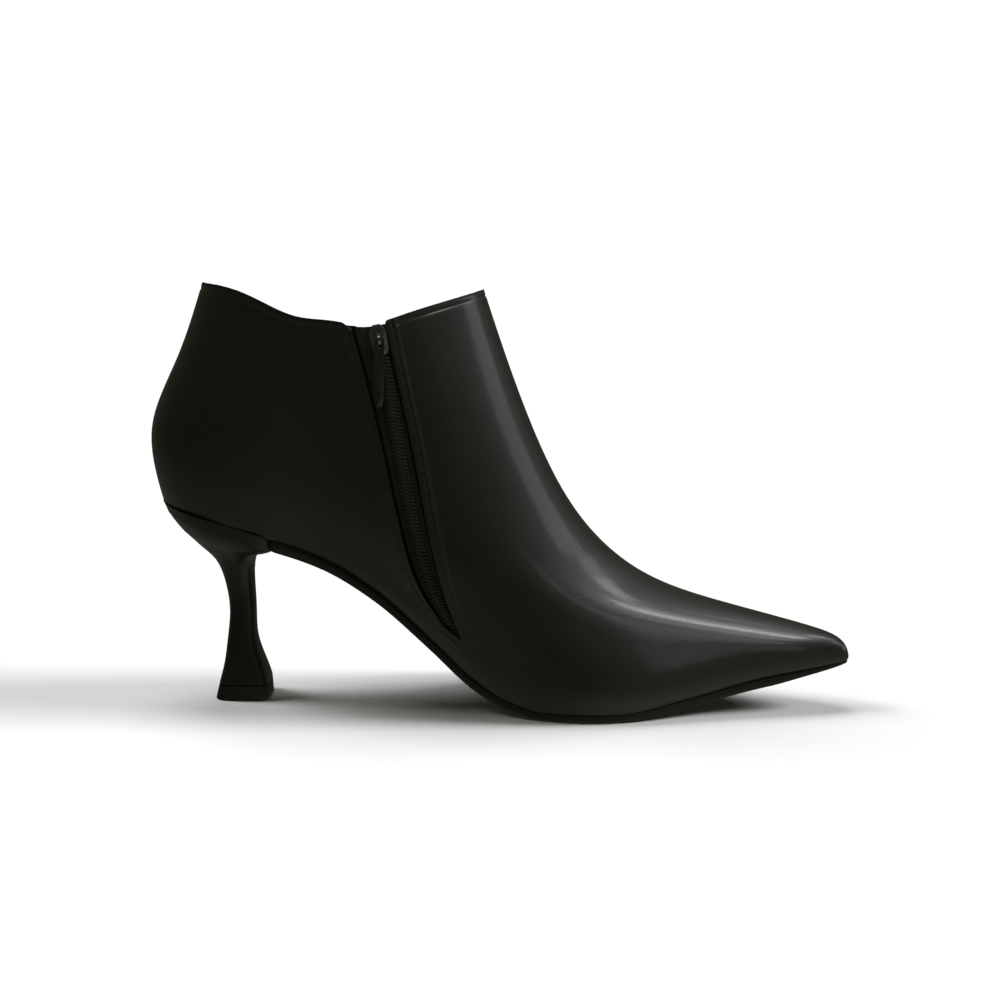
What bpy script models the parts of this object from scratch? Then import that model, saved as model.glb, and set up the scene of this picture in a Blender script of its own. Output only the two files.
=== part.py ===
"""Left ankle boot with a pointed toe, a dipped collar, an inside zip and a slim flared heel.

+X points to the toe, -Y to the inner side, +Z up. The origin is on the floor, under the middle of the boot.
The upper, the sole, the seat of the heel, the insole and the zip are all worked out from one last: a side
pattern drawn between four edges (feather line, back, vamp ridge and top line) and a table of half widths.
"""

import math
from collections import namedtuple

import bmesh
import bpy
import numpy as np
from mathutils import Matrix, Vector

# Driving dimensions, in metres
LENGTH = 0.2495
BALL_WIDTH = 0.0745
SHAFT_HEIGHT = 0.148
SOLE_THICKNESS = 0.0028
WALL = 0.0018
PIECE_GAP = 0.0003

# Top line: how far it drops below the straight line between its two peaks, along the inner side, and how
# much lower the outer side lies in its middle (metres)
CollarPoint = namedtuple("CollarPoint", "share drop")
COLLAR_LINE = [
    CollarPoint(0.00, 0.0000),
    CollarPoint(0.12, 0.0012),
    CollarPoint(0.24, 0.0054),
    CollarPoint(0.36, 0.0100),
    CollarPoint(0.48, 0.0111),
    CollarPoint(0.60, 0.0120),
    CollarPoint(0.74, 0.0081),
    CollarPoint(0.88, 0.0036),
    CollarPoint(1.00, 0.0000),
]
COLLAR_OUTER_DROP = 0.0060
COLLAR_FADE = 2.0

# How fast the arch of the foot fades out from the feather line up to the top line
ARCH_FADE_HEEL = 1.7
ARCH_FADE_TOE = 1.0

# Last levels from the feather line (0) to the top line (1). Back and ridge give the two ends of each level
# in the side view: along is a share of LENGTH from the heel, height a share of SHAFT_HEIGHT.
Level = namedtuple("Level", "level back_along back_height ridge_along ridge_height")
LEVELS = [
    Level(0.00, 0.0172, 0.482, 0.9990, 0.117),
    Level(0.06, 0.0118, 0.514, 1.0000, 0.130),
    Level(0.12, 0.0074, 0.544, 0.9900, 0.163),
    Level(0.20, 0.0030, 0.584, 0.9480, 0.194),
    Level(0.35, 0.0020, 0.659, 0.8270, 0.245),
    Level(0.50, 0.0152, 0.736, 0.7030, 0.318),
    Level(0.65, 0.0368, 0.818, 0.6038, 0.469),
    Level(0.80, 0.0544, 0.895, 0.5352, 0.688),
    Level(1.00, 0.0740, 1.000, 0.4684, 0.993),
]

# Half widths of the same levels, as shares of half of BALL_WIDTH, at four places along the level, and the
# radii of its two round ends (metres).
Girth = namedtuple("Girth", "level back_radius heel waist ball toe ridge_radius")
GIRTHS = [
    Girth(0.00, 0.0240, 0.625, 0.530, 0.930, 0.455, 0.0026),
    Girth(0.06, 0.0250, 0.680, 0.640, 0.990, 0.518, 0.0036),
    Girth(0.12, 0.0260, 0.706, 0.695, 0.990, 0.540, 0.0043),
    Girth(0.20, 0.0265, 0.730, 0.730, 0.970, 0.570, 0.0044),
    Girth(0.35, 0.0260, 0.741, 0.760, 0.935, 0.655, 0.0050),
    Girth(0.50, 0.0240, 0.725, 0.780, 0.910, 0.722, 0.0074),
    Girth(0.65, 0.0210, 0.680, 0.787, 0.870, 0.722, 0.0112),
    Girth(0.80, 0.0175, 0.604, 0.780, 0.832, 0.685, 0.0125),
    Girth(1.00, 0.0135, 0.510, 0.760, 0.792, 0.585, 0.0125),
]
GIRTH_PLACES = [0.0, 0.12, 0.36, 0.62, 0.84, 1.0]

# How far each of those places leans to the outer side at the feather line, as a share of its half width
OUTER_LEAN = [0.0, 0.0, 0.13, 0.0, 0.05, 0.0]

# Left and right curve of the last: how far its middle line lies to the outer side (metres)
Swing = namedtuple("Swing", "along sideways")
SWINGS = [
    Swing(0.00, -0.0015),
    Swing(0.25, -0.0015),
    Swing(0.62, 0.0000),
    Swing(1.00, -0.0050),
]

# Sole stations from heel to toe: height of the feather line (share of SHAFT_HEIGHT) and thickness of the
# sole under it (share of SOLE_THICKNESS). The two level rows are the tread that stands on the floor.
Station = namedtuple("Station", "along feather_height thickness")
SOLE_STATIONS = [
    Station(0.017, 0.482, 1.80),
    Station(0.100, 0.449, 1.80),
    Station(0.180, 0.408, 1.50),
    Station(0.250, 0.361, 1.42),
    Station(0.320, 0.286, 1.40),
    Station(0.400, 0.171, 1.35),
    Station(0.460, 0.084, 1.30),
    Station(0.510, 0.038, 1.15),
    Station(0.560, 0.0189, 1.00),
    Station(0.660, 0.0189, 1.00),
    Station(0.760, 0.044, 1.08),
    Station(0.880, 0.086, 1.22),
    Station(0.940, 0.1021, 0.78),
    Station(1.000, 0.117, 0.25),
]

# Sole edge
BREAST_ALONG = 0.184
SOLE_OVERHANG = 0.0004
SOLE_EDGE_BEVEL = 0.0009
SOLE_EDGE_BULGE = 0.0002
SOLE_TIP_SHARE = 0.9985

# Heel sections from the floor up to the seat: back and front ends in the side view (metres from the boot's
# middle and from the floor), half width, how square the back and front are (2 is an ellipse), and how much
# of its height it takes from the seat.
HeelSection = namedtuple(
    "HeelSection", "back_x back_z front_x front_z half_width back_square front_square seat_share"
)
HEEL_SECTIONS = [
    HeelSection(-0.1021, 0.0000, -0.0826, 0.0000, 0.0107, 4.0, 5.0, 0.0),
    HeelSection(-0.1009, 0.0056, -0.0830, 0.0056, 0.0101, 4.0, 5.0, 0.0),
    HeelSection(-0.0993, 0.0125, -0.0850, 0.0125, 0.0086, 3.6, 4.4, 0.0),
    HeelSection(-0.0982, 0.0215, -0.0877, 0.0215, 0.0068, 3.0, 3.6, 0.0),
    HeelSection(-0.0975, 0.0310, -0.0882, 0.0310, 0.0059, 2.6, 3.2, 0.0),
    HeelSection(-0.0986, 0.0400, -0.0886, 0.0395, 0.0063, 2.4, 3.0, 0.0),
    HeelSection(-0.1018, 0.0492, -0.0889, 0.0465, 0.0084, 2.3, 3.2, 0.0),
    HeelSection(-0.1076, 0.0555, -0.0882, 0.0510, 0.0125, 2.2, 3.8, 0.0),
    HeelSection(-0.1140, 0.0618, -0.0855, 0.0534, 0.0180, 2.1, 5.0, 0.0),
    HeelSection(-0.1190, 0.0682, -0.0800, 0.0556, 0.0226, 2.0, 7.0, 0.0),
    HeelSection(-0.1206, 0.0711, -0.0793, 0.0598, 0.0238, 2.0, 7.0, 1.0),
]
TOP_LIFT_HEIGHT = 0.0053

# Insole
INSOLE_THICKNESS = 0.0022

# Zip in the side view: the slit's back edge, the chain and the slit's front edge (metres from the floor and
# from the boot's middle)
ZipRow = namedtuple("ZipRow", "height back chain front")
ZIP_ROWS = [
    ZipRow(0.018, -0.0125, -0.0113, -0.0101),
    ZipRow(0.027, -0.0167, -0.0150, -0.0133),
    ZipRow(0.042, -0.0264, -0.0226, -0.0188),
    ZipRow(0.062, -0.0337, -0.0290, -0.0243),
    ZipRow(0.092, -0.0406, -0.0352, -0.0304),
    ZipRow(0.115, -0.0463, -0.0393, -0.0356),
    ZipRow(0.138, -0.0526, -0.0441, -0.0408),
]
ZIP_FOOT_LEVEL = 0.12
ZIP_TAPE_OVERLAP = 0.0035
ZIP_TAPE_THICKNESS = 0.0008
ZIP_TAPE_FOOT = 0.03
ZIP_TAPE_TOP = 0.006
CHAIN_HALF_WIDTH = 0.0024
CHAIN_RISE = 0.0013
CHAIN_SIDE_GAP = 0.0007
CHAIN_FOOT_LEVEL = 0.145
CHAIN_TOP_GAP = 0.0006

# Section of the chain: shares of its half width across and of its rise outwards
CHAIN_SECTION = [(-1.0, 0.0), (-0.8, 0.7), (0.0, 1.0), (0.8, 0.7), (1.0, 0.0), (0.0, 0.0)]

# Slider, pull and the hinge between them
SLIDER_HEIGHT = 0.1302
SLIDER_LENGTH = 0.0105
SLIDER_TOP_WIDTH = 0.0060
SLIDER_FOOT_WIDTH = 0.0052
SLIDER_SINK = 0.0015
SLIDER_RISE = 0.0008
SLIDER_CORNER = 0.0013
SLIDER_BEVEL = 0.0004
CROWN_LENGTH = 0.0046
CROWN_WIDTH = 0.0011
CROWN_RISE = 0.0029
CROWN_BAR = 0.0010
CROWN_STEPS = 8
HINGE_RISE = 0.0009
PULL_LENGTH = 0.0225
PULL_HEAD = 0.0006
PULL_TOP_WIDTH = 0.0034
PULL_FOOT_WIDTH = 0.0036
PULL_THICKNESS = 0.0010
PULL_EYE_LENGTH = 0.0031
PULL_EYE_WIDTH = 0.0021
PULL_SQUARENESS = 5.0
PULL_POINTS = 32

# Finishes: colour, roughness and metallic of each piece
Finish = namedtuple("Finish", "name colour roughness metallic")
UPPER_LEATHER = Finish("upper_leather", (0.012, 0.012, 0.011), 0.38, 0.0)
HEEL_COVER = Finish("heel_cover", (0.012, 0.012, 0.011), 0.45, 0.0)
SOLE_RUBBER = Finish("sole_rubber", (0.010, 0.010, 0.010), 0.60, 0.0)
LIFT_RUBBER = Finish("lift_rubber", (0.010, 0.010, 0.010), 0.55, 0.0)
SOCK_LEATHER = Finish("sock_leather", (0.030, 0.028, 0.026), 0.70, 0.0)
TAPE_FABRIC = Finish("tape_fabric", (0.012, 0.012, 0.012), 0.85, 0.0)
TEETH_NYLON = Finish("teeth_nylon", (0.015, 0.015, 0.015), 0.50, 0.0)
SLIDER_METAL = Finish("slider_metal", (0.060, 0.060, 0.060), 0.30, 1.0)
PULL_METAL = Finish("pull_metal", (0.030, 0.030, 0.030), 0.35, 1.0)

# Steps for slopes and searches on the last, and how meshes are joined and shaded
SLOPE_STEP = 0.002
ZIP_SHARES = np.linspace(0.30, 0.75, 46)
ZIP_LEVELS = np.linspace(ZIP_FOOT_LEVEL, 0.98, 80)
MERGE_DISTANCE = 0.00001
SHARP_ANGLE = math.radians(40)

# Mesh counts
BACK_COLUMNS = 12
ZIP_COLUMNS = 2
TAPE_COLUMNS = 4
FRONT_COLUMNS = 14
OUTER_COLUMNS = 28
TUCK_ROWS = 6
UPPER_ROWS = 19
SOLE_ROWS = 36
INSOLE_COLUMNS = 6
HEEL_RINGS = 26
HEEL_COLUMNS = 28


def natural_spline(knots, values):
    """A smooth curve through the values at the knots, straight at its two ends."""
    knots = np.asarray(knots, float)
    values = np.asarray(values, float)
    steps = np.diff(knots)
    count = len(knots)
    system = np.eye(count)
    bends = np.zeros_like(values)
    for i in range(1, count - 1):
        system[i, i - 1 : i + 2] = steps[i - 1], 2 * (steps[i - 1] + steps[i]), steps[i]
        bends[i] = 6 * ((values[i + 1] - values[i]) / steps[i] - (values[i] - values[i - 1]) / steps[i - 1])
    curvature = np.linalg.solve(system, bends)

    def at(x):
        i = int(np.clip(np.searchsorted(knots, x) - 1, 0, count - 2))
        left = (knots[i + 1] - x) / steps[i]
        right = (x - knots[i]) / steps[i]
        cubic = (left**3 - left) * curvature[i] + (right**3 - right) * curvature[i + 1]
        return left * values[i] + right * values[i + 1] + cubic * steps[i] ** 2 / 6

    return at


def steady_spline(knots, values):
    """A curve through the values that never overshoots, so that equal neighbours stay exactly level."""
    knots = np.asarray(knots, float)
    values = np.asarray(values, float)
    steps = np.diff(knots)
    rises = np.diff(values) / steps
    slopes = np.concatenate([rises[:1], np.zeros(len(knots) - 2), rises[-1:]])
    for i in range(1, len(knots) - 1):
        if rises[i - 1] * rises[i] > 0:
            slopes[i] = 2 * rises[i - 1] * rises[i] / (rises[i - 1] + rises[i])

    def at(x):
        i = int(np.clip(np.searchsorted(knots, x) - 1, 0, len(knots) - 2))
        s = np.clip((x - knots[i]) / steps[i], 0.0, 1.0)
        start = (1 + 2 * s) * (1 - s) ** 2 * values[i] + s * (1 - s) ** 2 * steps[i] * slopes[i]
        return start + s**2 * (3 - 2 * s) * values[i + 1] + s**2 * (s - 1) * steps[i] * slopes[i + 1]

    return at


def from_heel(share):
    """X of a place given as a share of the boot's length from its back."""
    return (share - 0.5) * LENGTH


side_ends = natural_spline(
    [row.level for row in LEVELS],
    [
        (
            from_heel(row.back_along),
            row.back_height * SHAFT_HEIGHT,
            from_heel(row.ridge_along),
            row.ridge_height * SHAFT_HEIGHT,
        )
        for row in LEVELS
    ],
)
girth_at = natural_spline([row.level for row in GIRTHS], [row[1:] for row in GIRTHS])
lean_at = natural_spline(GIRTH_PLACES, OUTER_LEAN)
collar_drop = natural_spline([row.share for row in COLLAR_LINE], [row.drop for row in COLLAR_LINE])
sideways = steady_spline([from_heel(row.along) for row in SWINGS], [row.sideways for row in SWINGS])
feather_height = steady_spline(
    [from_heel(row.along) for row in SOLE_STATIONS],
    [row.feather_height * SHAFT_HEIGHT for row in SOLE_STATIONS],
)
sole_thickness = steady_spline(
    [from_heel(row.along) for row in SOLE_STATIONS],
    [row.thickness * SOLE_THICKNESS for row in SOLE_STATIONS],
)
zip_lines = {
    -1: natural_spline([row.height for row in ZIP_ROWS], [row.back for row in ZIP_ROWS]),
    0: natural_spline([row.height for row in ZIP_ROWS], [row.chain for row in ZIP_ROWS]),
    1: natural_spline([row.height for row in ZIP_ROWS], [row.front for row in ZIP_ROWS]),
}


def side_place(share, level, outer):
    """X and Z of a point of the last in the side view, at a share of the way along one of its levels."""
    back_x, back_z, ridge_x, ridge_z = side_ends(level)
    foot_back_x, foot_back_z, foot_tip_x, foot_tip_z = side_ends(0.0)
    x = (1 - share) * back_x + share * ridge_x
    chord = (1 - share) * back_z + share * ridge_z
    foot_x = (1 - share) * foot_back_x + share * foot_tip_x
    foot_chord = (1 - share) * foot_back_z + share * foot_tip_z
    arch = feather_height(foot_x) - foot_chord
    drop = collar_drop(share) + (COLLAR_OUTER_DROP * math.sin(math.pi * math.sqrt(share)) if outer else 0.0)
    arch_fade = ARCH_FADE_HEEL + (ARCH_FADE_TOE - ARCH_FADE_HEEL) * share**2
    return x, chord + (1 - level) ** arch_fade * arch - level**COLLAR_FADE * drop


def half_width(share, level, outer):
    """Half width of the last at a share of the way along a level, without the rounding of its two ends."""
    back_x, back_z, ridge_x, ridge_z = side_ends(level)
    span = math.hypot(ridge_x - back_x, ridge_z - back_z)
    back_radius, heel, waist, ball, toe, ridge_radius = girth_at(level)
    fullness = [math.sqrt(back_radius * span / 2)]
    for place, width in zip(GIRTH_PLACES[1:-1], (heel, waist, ball, toe)):
        fullness.append(width * BALL_WIDTH / 2 / (2 * math.sqrt(place * (1 - place))))
    fullness.append(math.sqrt(ridge_radius * span / 2))
    lean = lean_at(share) * (1 - level)
    return natural_spline(GIRTH_PLACES, fullness)(share) * (1 + lean if outer else 1 - lean)


def last_point(turn, level):
    """A point of the last. turn is 0 at the back, pi at the ridge; between them lies the inner side."""
    outer = turn > math.pi
    share = (1 - math.cos(turn)) / 2
    x, z = side_place(share, level, outer)
    return Vector((x, sideways(x) - math.sin(turn) * half_width(share, level, outer), z))


def last_normal(turn, level):
    """The outward direction of the last at a point."""
    low, high = max(level - SLOPE_STEP, 0.0), min(level + SLOPE_STEP, 1.0)
    along = last_point(turn + SLOPE_STEP, level) - last_point(turn - SLOPE_STEP, level)
    up = last_point(turn, high) - last_point(turn, low)
    return along.cross(up).normalized()


def offset_point(turn, level, rise):
    """A point that stands above the last's surface by rise, or in its wall where rise is below zero."""
    return last_point(turn, level) + last_normal(turn, level) * rise


def turn_of(share):
    """The turn on the inner side at a share of the way along a level."""
    return math.acos(1 - 2 * share)


def zip_turn(level, side):
    """Where a level of the last meets the zip's chain (side 0), back edge (-1) or front edge (+1)."""
    misses = []
    for share in ZIP_SHARES:
        x, z = side_place(share, level, outer=False)
        misses.append(x - zip_lines[side](z))
    return turn_of(float(np.interp(0.0, misses, ZIP_SHARES)))


def zip_level(height):
    """The level at which the zip's chain reaches a height."""
    heights = [last_point(zip_turn(level, 0), level).z for level in ZIP_LEVELS]
    return float(np.interp(height, heights, ZIP_LEVELS))


def zip_frame(level, rise):
    """Directions across, up and out of the zip, and the point at a rise over its chain."""
    turn = zip_turn(level, 0)
    out = last_normal(turn, level)
    below, above = level - SLOPE_STEP, level + SLOPE_STEP
    up = last_point(zip_turn(above, 0), above) - last_point(zip_turn(below, 0), below)
    across = up.cross(out).normalized()
    return across, out.cross(across), out, last_point(turn, level) + out * rise


def slit_width(level):
    """Width of the open slit at a level."""
    return (last_point(zip_turn(level, 1), level) - last_point(zip_turn(level, -1), level)).length


def material(finish):
    """A plain material of a finish."""
    made = bpy.data.materials.new(finish.name)
    made.use_nodes = True
    shader = made.node_tree.nodes["Principled BSDF"]
    shader.inputs["Base Color"].default_value = (*finish.colour, 1.0)
    shader.inputs["Roughness"].default_value = finish.roughness
    shader.inputs["Metallic"].default_value = finish.metallic
    return made


def add_object(name, bm, finish):
    """Makes a named object of a bmesh, with its round faces smooth."""
    mesh = bpy.data.meshes.new(name)
    bm.to_mesh(mesh)
    bm.free()
    mesh.shade_smooth()
    mesh.set_sharp_from_angle(angle=SHARP_ANGLE)
    made = bpy.data.objects.new(name, mesh)
    made.data.materials.append(material(finish))
    bpy.context.scene.collection.objects.link(made)
    return made


def skin(rows, around, left_out=()):
    """A sheet of quads through rows of points; around closes each row, and left_out cells stay open."""
    bm = bmesh.new()
    grid = [[bm.verts.new(point) for point in row] for row in rows]
    columns = len(rows[0]) if around else len(rows[0]) - 1
    for r in range(len(rows) - 1):
        for c in range(columns):
            if (r, c) not in left_out:
                after = (c + 1) % len(rows[0])
                bm.faces.new((grid[r][c], grid[r][after], grid[r + 1][after], grid[r + 1][c]))
    loose = [v for v in bm.verts if not v.link_faces]
    bmesh.ops.delete(bm, geom=loose, context="VERTS")
    return bm


def loft(rings):
    """A closed solid through rings of points, with a ladder of quads over each end."""
    bm = skin(rings, around=True)
    bm.verts.ensure_lookup_table()
    count = len(rings[0])
    for start in (0, (len(rings) - 1) * count):
        ring = bm.verts[start : start + count]
        for i in range((count - 1) // 2):
            corners = [ring[i], ring[i + 1], ring[count - i - 2], ring[count - i - 1]]
            bm.faces.new(list(dict.fromkeys(corners)))
    bmesh.ops.recalc_face_normals(bm, faces=bm.faces)
    return bm


def add_wall(made, thickness, side=-1.0):
    """Gives a sheet its thickness, behind its surface (side -1) or in front of it (side 1)."""
    wall = made.modifiers.new("Wall", "SOLIDIFY")
    wall.thickness = thickness
    wall.offset = side
    wall.use_even_offset = True
    wall.use_rim = True


def spaced(start, end, count):
    """Even steps from start up to, but without, end."""
    return [start + (end - start) * i / count for i in range(count)]


def upper_levels():
    """Levels of the upper's rows, closer together from the tucked feather edge to the foot of the zip."""
    return spaced(0.0, ZIP_FOOT_LEVEL, TUCK_ROWS) + list(np.linspace(ZIP_FOOT_LEVEL, 1.0, UPPER_ROWS))


def make_upper():
    """The leather wall from feather line to top line, open at the collar, underneath and along the zip."""
    rows = []
    left_out = set()
    for r, level in enumerate(upper_levels()):
        back, front = (zip_turn(level, side) for side in (-1, 1))
        turns = spaced(0.0, back, BACK_COLUMNS)
        turns += spaced(back, front, ZIP_COLUMNS)
        turns += spaced(front, math.pi, FRONT_COLUMNS)
        turns += spaced(math.pi, 2 * math.pi, OUTER_COLUMNS)
        rows.append([last_point(turn, level) for turn in turns])
        if level >= ZIP_FOOT_LEVEL:
            left_out |= {(r, BACK_COLUMNS + c) for c in range(ZIP_COLUMNS)}
    upper = add_object("upper", skin(rows, around=True, left_out=left_out), UPPER_LEATHER)
    add_wall(upper, WALL)


def make_outsole():
    """The thin sole from the heel's breast to the toe, flat where it stands on the floor."""
    foot_back_x, _, foot_tip_x, _ = side_ends(0.0)
    breast_share = (from_heel(BREAST_ALONG) - foot_back_x) / (foot_tip_x - foot_back_x)
    rings = []
    for i in range(SOLE_ROWS + 1):
        share = breast_share + (SOLE_TIP_SHARE - breast_share) * math.sin(math.pi / 2 * i / SOLE_ROWS)
        inner = last_point(turn_of(share), 0.0)
        outer = last_point(2 * math.pi - turn_of(share), 0.0)
        left, right = inner.y - SOLE_OVERHANG, outer.y + SOLE_OVERHANG
        middle = (left + right) / 2
        bevel = min(SOLE_EDGE_BEVEL, (right - left) / 4)
        top = inner.z - PIECE_GAP
        bottom = max(inner.z - sole_thickness(inner.x), 0.0)
        waist = (top + bottom) / 2
        section = [(left, top), (left - SOLE_EDGE_BULGE, waist), (left + bevel, bottom), (middle, bottom)]
        section += [(right - bevel, bottom), (right + SOLE_EDGE_BULGE, waist), (right, top), (middle, top)]
        rings.append([Vector((inner.x, y, z)) for y, z in section])
    add_object("outsole", loft(rings), SOLE_RUBBER)


def make_insole():
    """The board and sock inside the upper, on the feather surface."""
    inset = WALL + 2 * PIECE_GAP
    rows = []
    for i in range(1, SOLE_ROWS):
        turn = math.pi * i / SOLE_ROWS
        inner = offset_point(turn, 0.0, -inset)
        outer = offset_point(2 * math.pi - turn, 0.0, -inset)
        row = [outer.lerp(inner, across) for across in np.linspace(0.0, 1.0, INSOLE_COLUMNS)]
        for point in row:
            point.z = feather_height(point.x) + PIECE_GAP
        rows.append(row)
    insole = add_object("insole", skin(rows, around=False), SOCK_LEATHER)
    add_wall(insole, INSOLE_THICKNESS, side=1.0)


def heel_ring(section):
    """A rounded oblong of points on one heel section, tilted with its back and front ends."""
    middle_x = (section.back_x + section.front_x) / 2
    half_length = (section.front_x - section.back_x) / 2
    points = []
    for i in range(HEEL_COLUMNS):
        turn = 2 * math.pi * i / HEEL_COLUMNS
        across, along = math.sin(turn), math.cos(turn)
        power = 2 / (section.back_square if along > 0 else section.front_square)
        x = middle_x - half_length * math.copysign(abs(along) ** power, along)
        y = sideways(x) - section.half_width * math.copysign(abs(across) ** power, across)
        rise = (x - section.back_x) / (section.front_x - section.back_x)
        line = section.back_z + (section.front_z - section.back_z) * rise
        seat = feather_height(x) - PIECE_GAP
        points.append(Vector((x, y, line + section.seat_share * (seat - line))))
    return points


def heel_section_at(place):
    """A heel section part of the way up the table, between its rows."""
    values = natural_spline(range(len(HEEL_SECTIONS)), HEEL_SECTIONS)(place)
    return HeelSection(*values)._replace(seat_share=float(np.clip(values[-1], 0.0, 1.0)))


def make_heel():
    """The covered heel and the lift under it."""
    places = np.linspace(1.0, len(HEEL_SECTIONS) - 1.0, HEEL_RINGS)
    add_object("heel", loft([heel_ring(heel_section_at(place)) for place in places]), HEEL_COVER)
    foot, above = HEEL_SECTIONS[0], HEEL_SECTIONS[1]
    top = above._replace(back_z=TOP_LIFT_HEIGHT, front_z=TOP_LIFT_HEIGHT)
    add_object("top_lift", loft([heel_ring(foot), heel_ring(top)]), LIFT_RUBBER)


def make_zip_tape():
    """The woven tape behind the slit, reaching under the leather on both sides."""
    foot, top = ZIP_FOOT_LEVEL - ZIP_TAPE_FOOT, 1.0 - ZIP_TAPE_TOP
    inside = [level for level in upper_levels() if foot < level < top]
    rows = []
    for level in [foot, *inside, top]:
        back, front = zip_turn(level, -1), zip_turn(level, 1)
        overlap = (front - back) * ZIP_TAPE_OVERLAP / slit_width(level)
        turns = np.linspace(back - overlap, front + overlap, TAPE_COLUMNS + 1)
        rows.append([offset_point(turn, level, -WALL - 2 * PIECE_GAP) for turn in turns])
    tape = add_object("zip_tape", skin(rows, around=False), TAPE_FABRIC)
    add_wall(tape, ZIP_TAPE_THICKNESS)


def make_zip_chain():
    """The closed row of teeth, a low bead along the middle of the tape up to the slider."""
    top_level = zip_level(SLIDER_HEIGHT - SLIDER_LENGTH / 2 - CHAIN_TOP_GAP)
    rings = []
    for level in np.linspace(CHAIN_FOOT_LEVEL, top_level, UPPER_ROWS):
        across, _, out, base = zip_frame(level, -WALL - PIECE_GAP)
        half = min(CHAIN_HALF_WIDTH, slit_width(level) / 2 - CHAIN_SIDE_GAP)
        rings.append([base + across * half * a + out * CHAIN_RISE * b for a, b in CHAIN_SECTION])
    add_object("zip_chain", loft(rings), TEETH_NYLON)


def slider_frame():
    """The slider's own frame: X across the zip, Y up it, Z out, with the origin on the leather's surface."""
    across, up, out, base = zip_frame(zip_level(SLIDER_HEIGHT), 0.0)
    return Matrix.Translation(base) @ Matrix((across, up, out)).transposed().to_4x4()


def extruded(outline, start, end, axis):
    """A solid of an outline given in the two other axes, from start to end along one axis."""
    bm = bmesh.new()
    corners = []
    for first, second in outline:
        place = [first, second]
        place.insert(axis, start)
        corners.append(bm.verts.new(place))
    pushed = bmesh.ops.extrude_face_region(bm, geom=[bm.faces.new(corners)])["geom"]
    shift = Vector((0.0, 0.0, 0.0))
    shift[axis] = end - start
    bmesh.ops.translate(bm, vec=shift, verts=[v for v in pushed if isinstance(v, bmesh.types.BMVert)])
    bmesh.ops.recalc_face_normals(bm, faces=bm.faces)
    return bm


def crown_outline(foot):
    """The arch over the slider, in its side view: an outer and an inner half ellipse down to a foot."""
    outer_half, inner_half = CROWN_LENGTH / 2, CROWN_LENGTH / 2 - CROWN_BAR
    outer_rise, inner_rise = CROWN_RISE, CROWN_RISE - CROWN_BAR
    angles = [math.pi * i / CROWN_STEPS for i in range(CROWN_STEPS + 1)]
    outer = [(outer_half * math.cos(a), SLIDER_RISE + outer_rise * math.sin(a)) for a in angles]
    inner = [(inner_half * math.cos(a), SLIDER_RISE + inner_rise * math.sin(a)) for a in reversed(angles)]
    return [(outer_half, foot), *outer, (-outer_half, foot), (-inner_half, foot), *inner, (inner_half, foot)]


def make_zip_slider(frame):
    """The slider's body on the chain, with the crown that carries the pull."""
    top, foot, half = SLIDER_TOP_WIDTH / 2, SLIDER_FOOT_WIDTH / 2, SLIDER_LENGTH / 2
    cut = SLIDER_CORNER
    outline = [(-top, half - 2 * cut), (-top + cut, half), (top - cut, half), (top, half - 2 * cut)]
    outline += [(foot, -half + cut), (foot - cut, -half), (-foot + cut, -half), (-foot, -half + cut)]
    body = extruded(outline, -SLIDER_SINK, SLIDER_RISE, axis=2)
    bmesh.ops.bevel(body, geom=body.edges, offset=SLIDER_BEVEL, segments=2, affect="EDGES")
    slider = add_object("zip_slider", body, SLIDER_METAL)
    slider.matrix_world = frame
    arch = extruded(crown_outline(0.0), -CROWN_WIDTH / 2, CROWN_WIDTH / 2, axis=0)
    crown = add_object("zip_crown_shape", arch, SLIDER_METAL)
    crown.matrix_world = frame
    crown.hide_render = True
    crown.display_type = "WIRE"
    join = slider.modifiers.new("Crown", "BOOLEAN")
    join.operation = "UNION"
    join.object = crown


def pull_outline(turn, half_width, head, foot):
    """A point at a turn about the hinge on an oblong with straight sides and round ends."""
    power = 2 / PULL_SQUARENESS
    across, down = math.sin(turn), math.cos(turn)
    reach = foot if down > 0 else head
    x = half_width * math.copysign(abs(across) ** power, across)
    return x, -reach * math.copysign(abs(down) ** power, down)


def make_zip_pull(frame):
    """The pull tab, hanging plumb by its eye's bar in the slider's crown, with its origin on the hinge."""
    eye_top, eye_foot = -PULL_THICKNESS / 2, PULL_THICKNESS / 2 + PULL_EYE_LENGTH
    rings = []
    for side in (-1, 1):
        depth = side * PULL_THICKNESS / 2
        outer = []
        inner = []
        for i in range(PULL_POINTS):
            turn = 2 * math.pi * i / PULL_POINTS
            x, y = pull_outline(turn, PULL_TOP_WIDTH / 2, PULL_HEAD, PULL_LENGTH)
            widening = 1 + (PULL_FOOT_WIDTH / PULL_TOP_WIDTH - 1) * max(-y, 0.0) / PULL_LENGTH
            outer.append(Vector((x * widening, y, depth)))
            half_eye = (eye_foot + eye_top) / 2
            x, y = pull_outline(turn, PULL_EYE_WIDTH / 2, half_eye, half_eye)
            inner.append(Vector((x, y - half_eye + eye_top, depth)))
        rings += [outer, inner] if side < 0 else [inner, outer]
    rings.append(rings[0])
    bm = skin(rings, around=True)
    bmesh.ops.remove_doubles(bm, verts=bm.verts, dist=MERGE_DISTANCE)
    bmesh.ops.recalc_face_normals(bm, faces=bm.faces)
    pull = add_object("zip_pull", bm, PULL_METAL)
    down = frame.to_3x3().transposed() @ Vector((0.0, 0.0, -1.0))
    hang = Matrix.Rotation(math.atan2(down.x, -down.y), 4, "Z")
    pull.matrix_world = frame @ Matrix.Translation((0.0, 0.0, SLIDER_RISE + HINGE_RISE)) @ hang


def main():
    for made in list(bpy.data.objects):
        bpy.data.objects.remove(made)
    make_upper()
    make_outsole()
    make_insole()
    make_heel()
    make_zip_tape()
    make_zip_chain()
    frame = slider_frame()
    make_zip_slider(frame)
    make_zip_pull(frame)


main()
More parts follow.
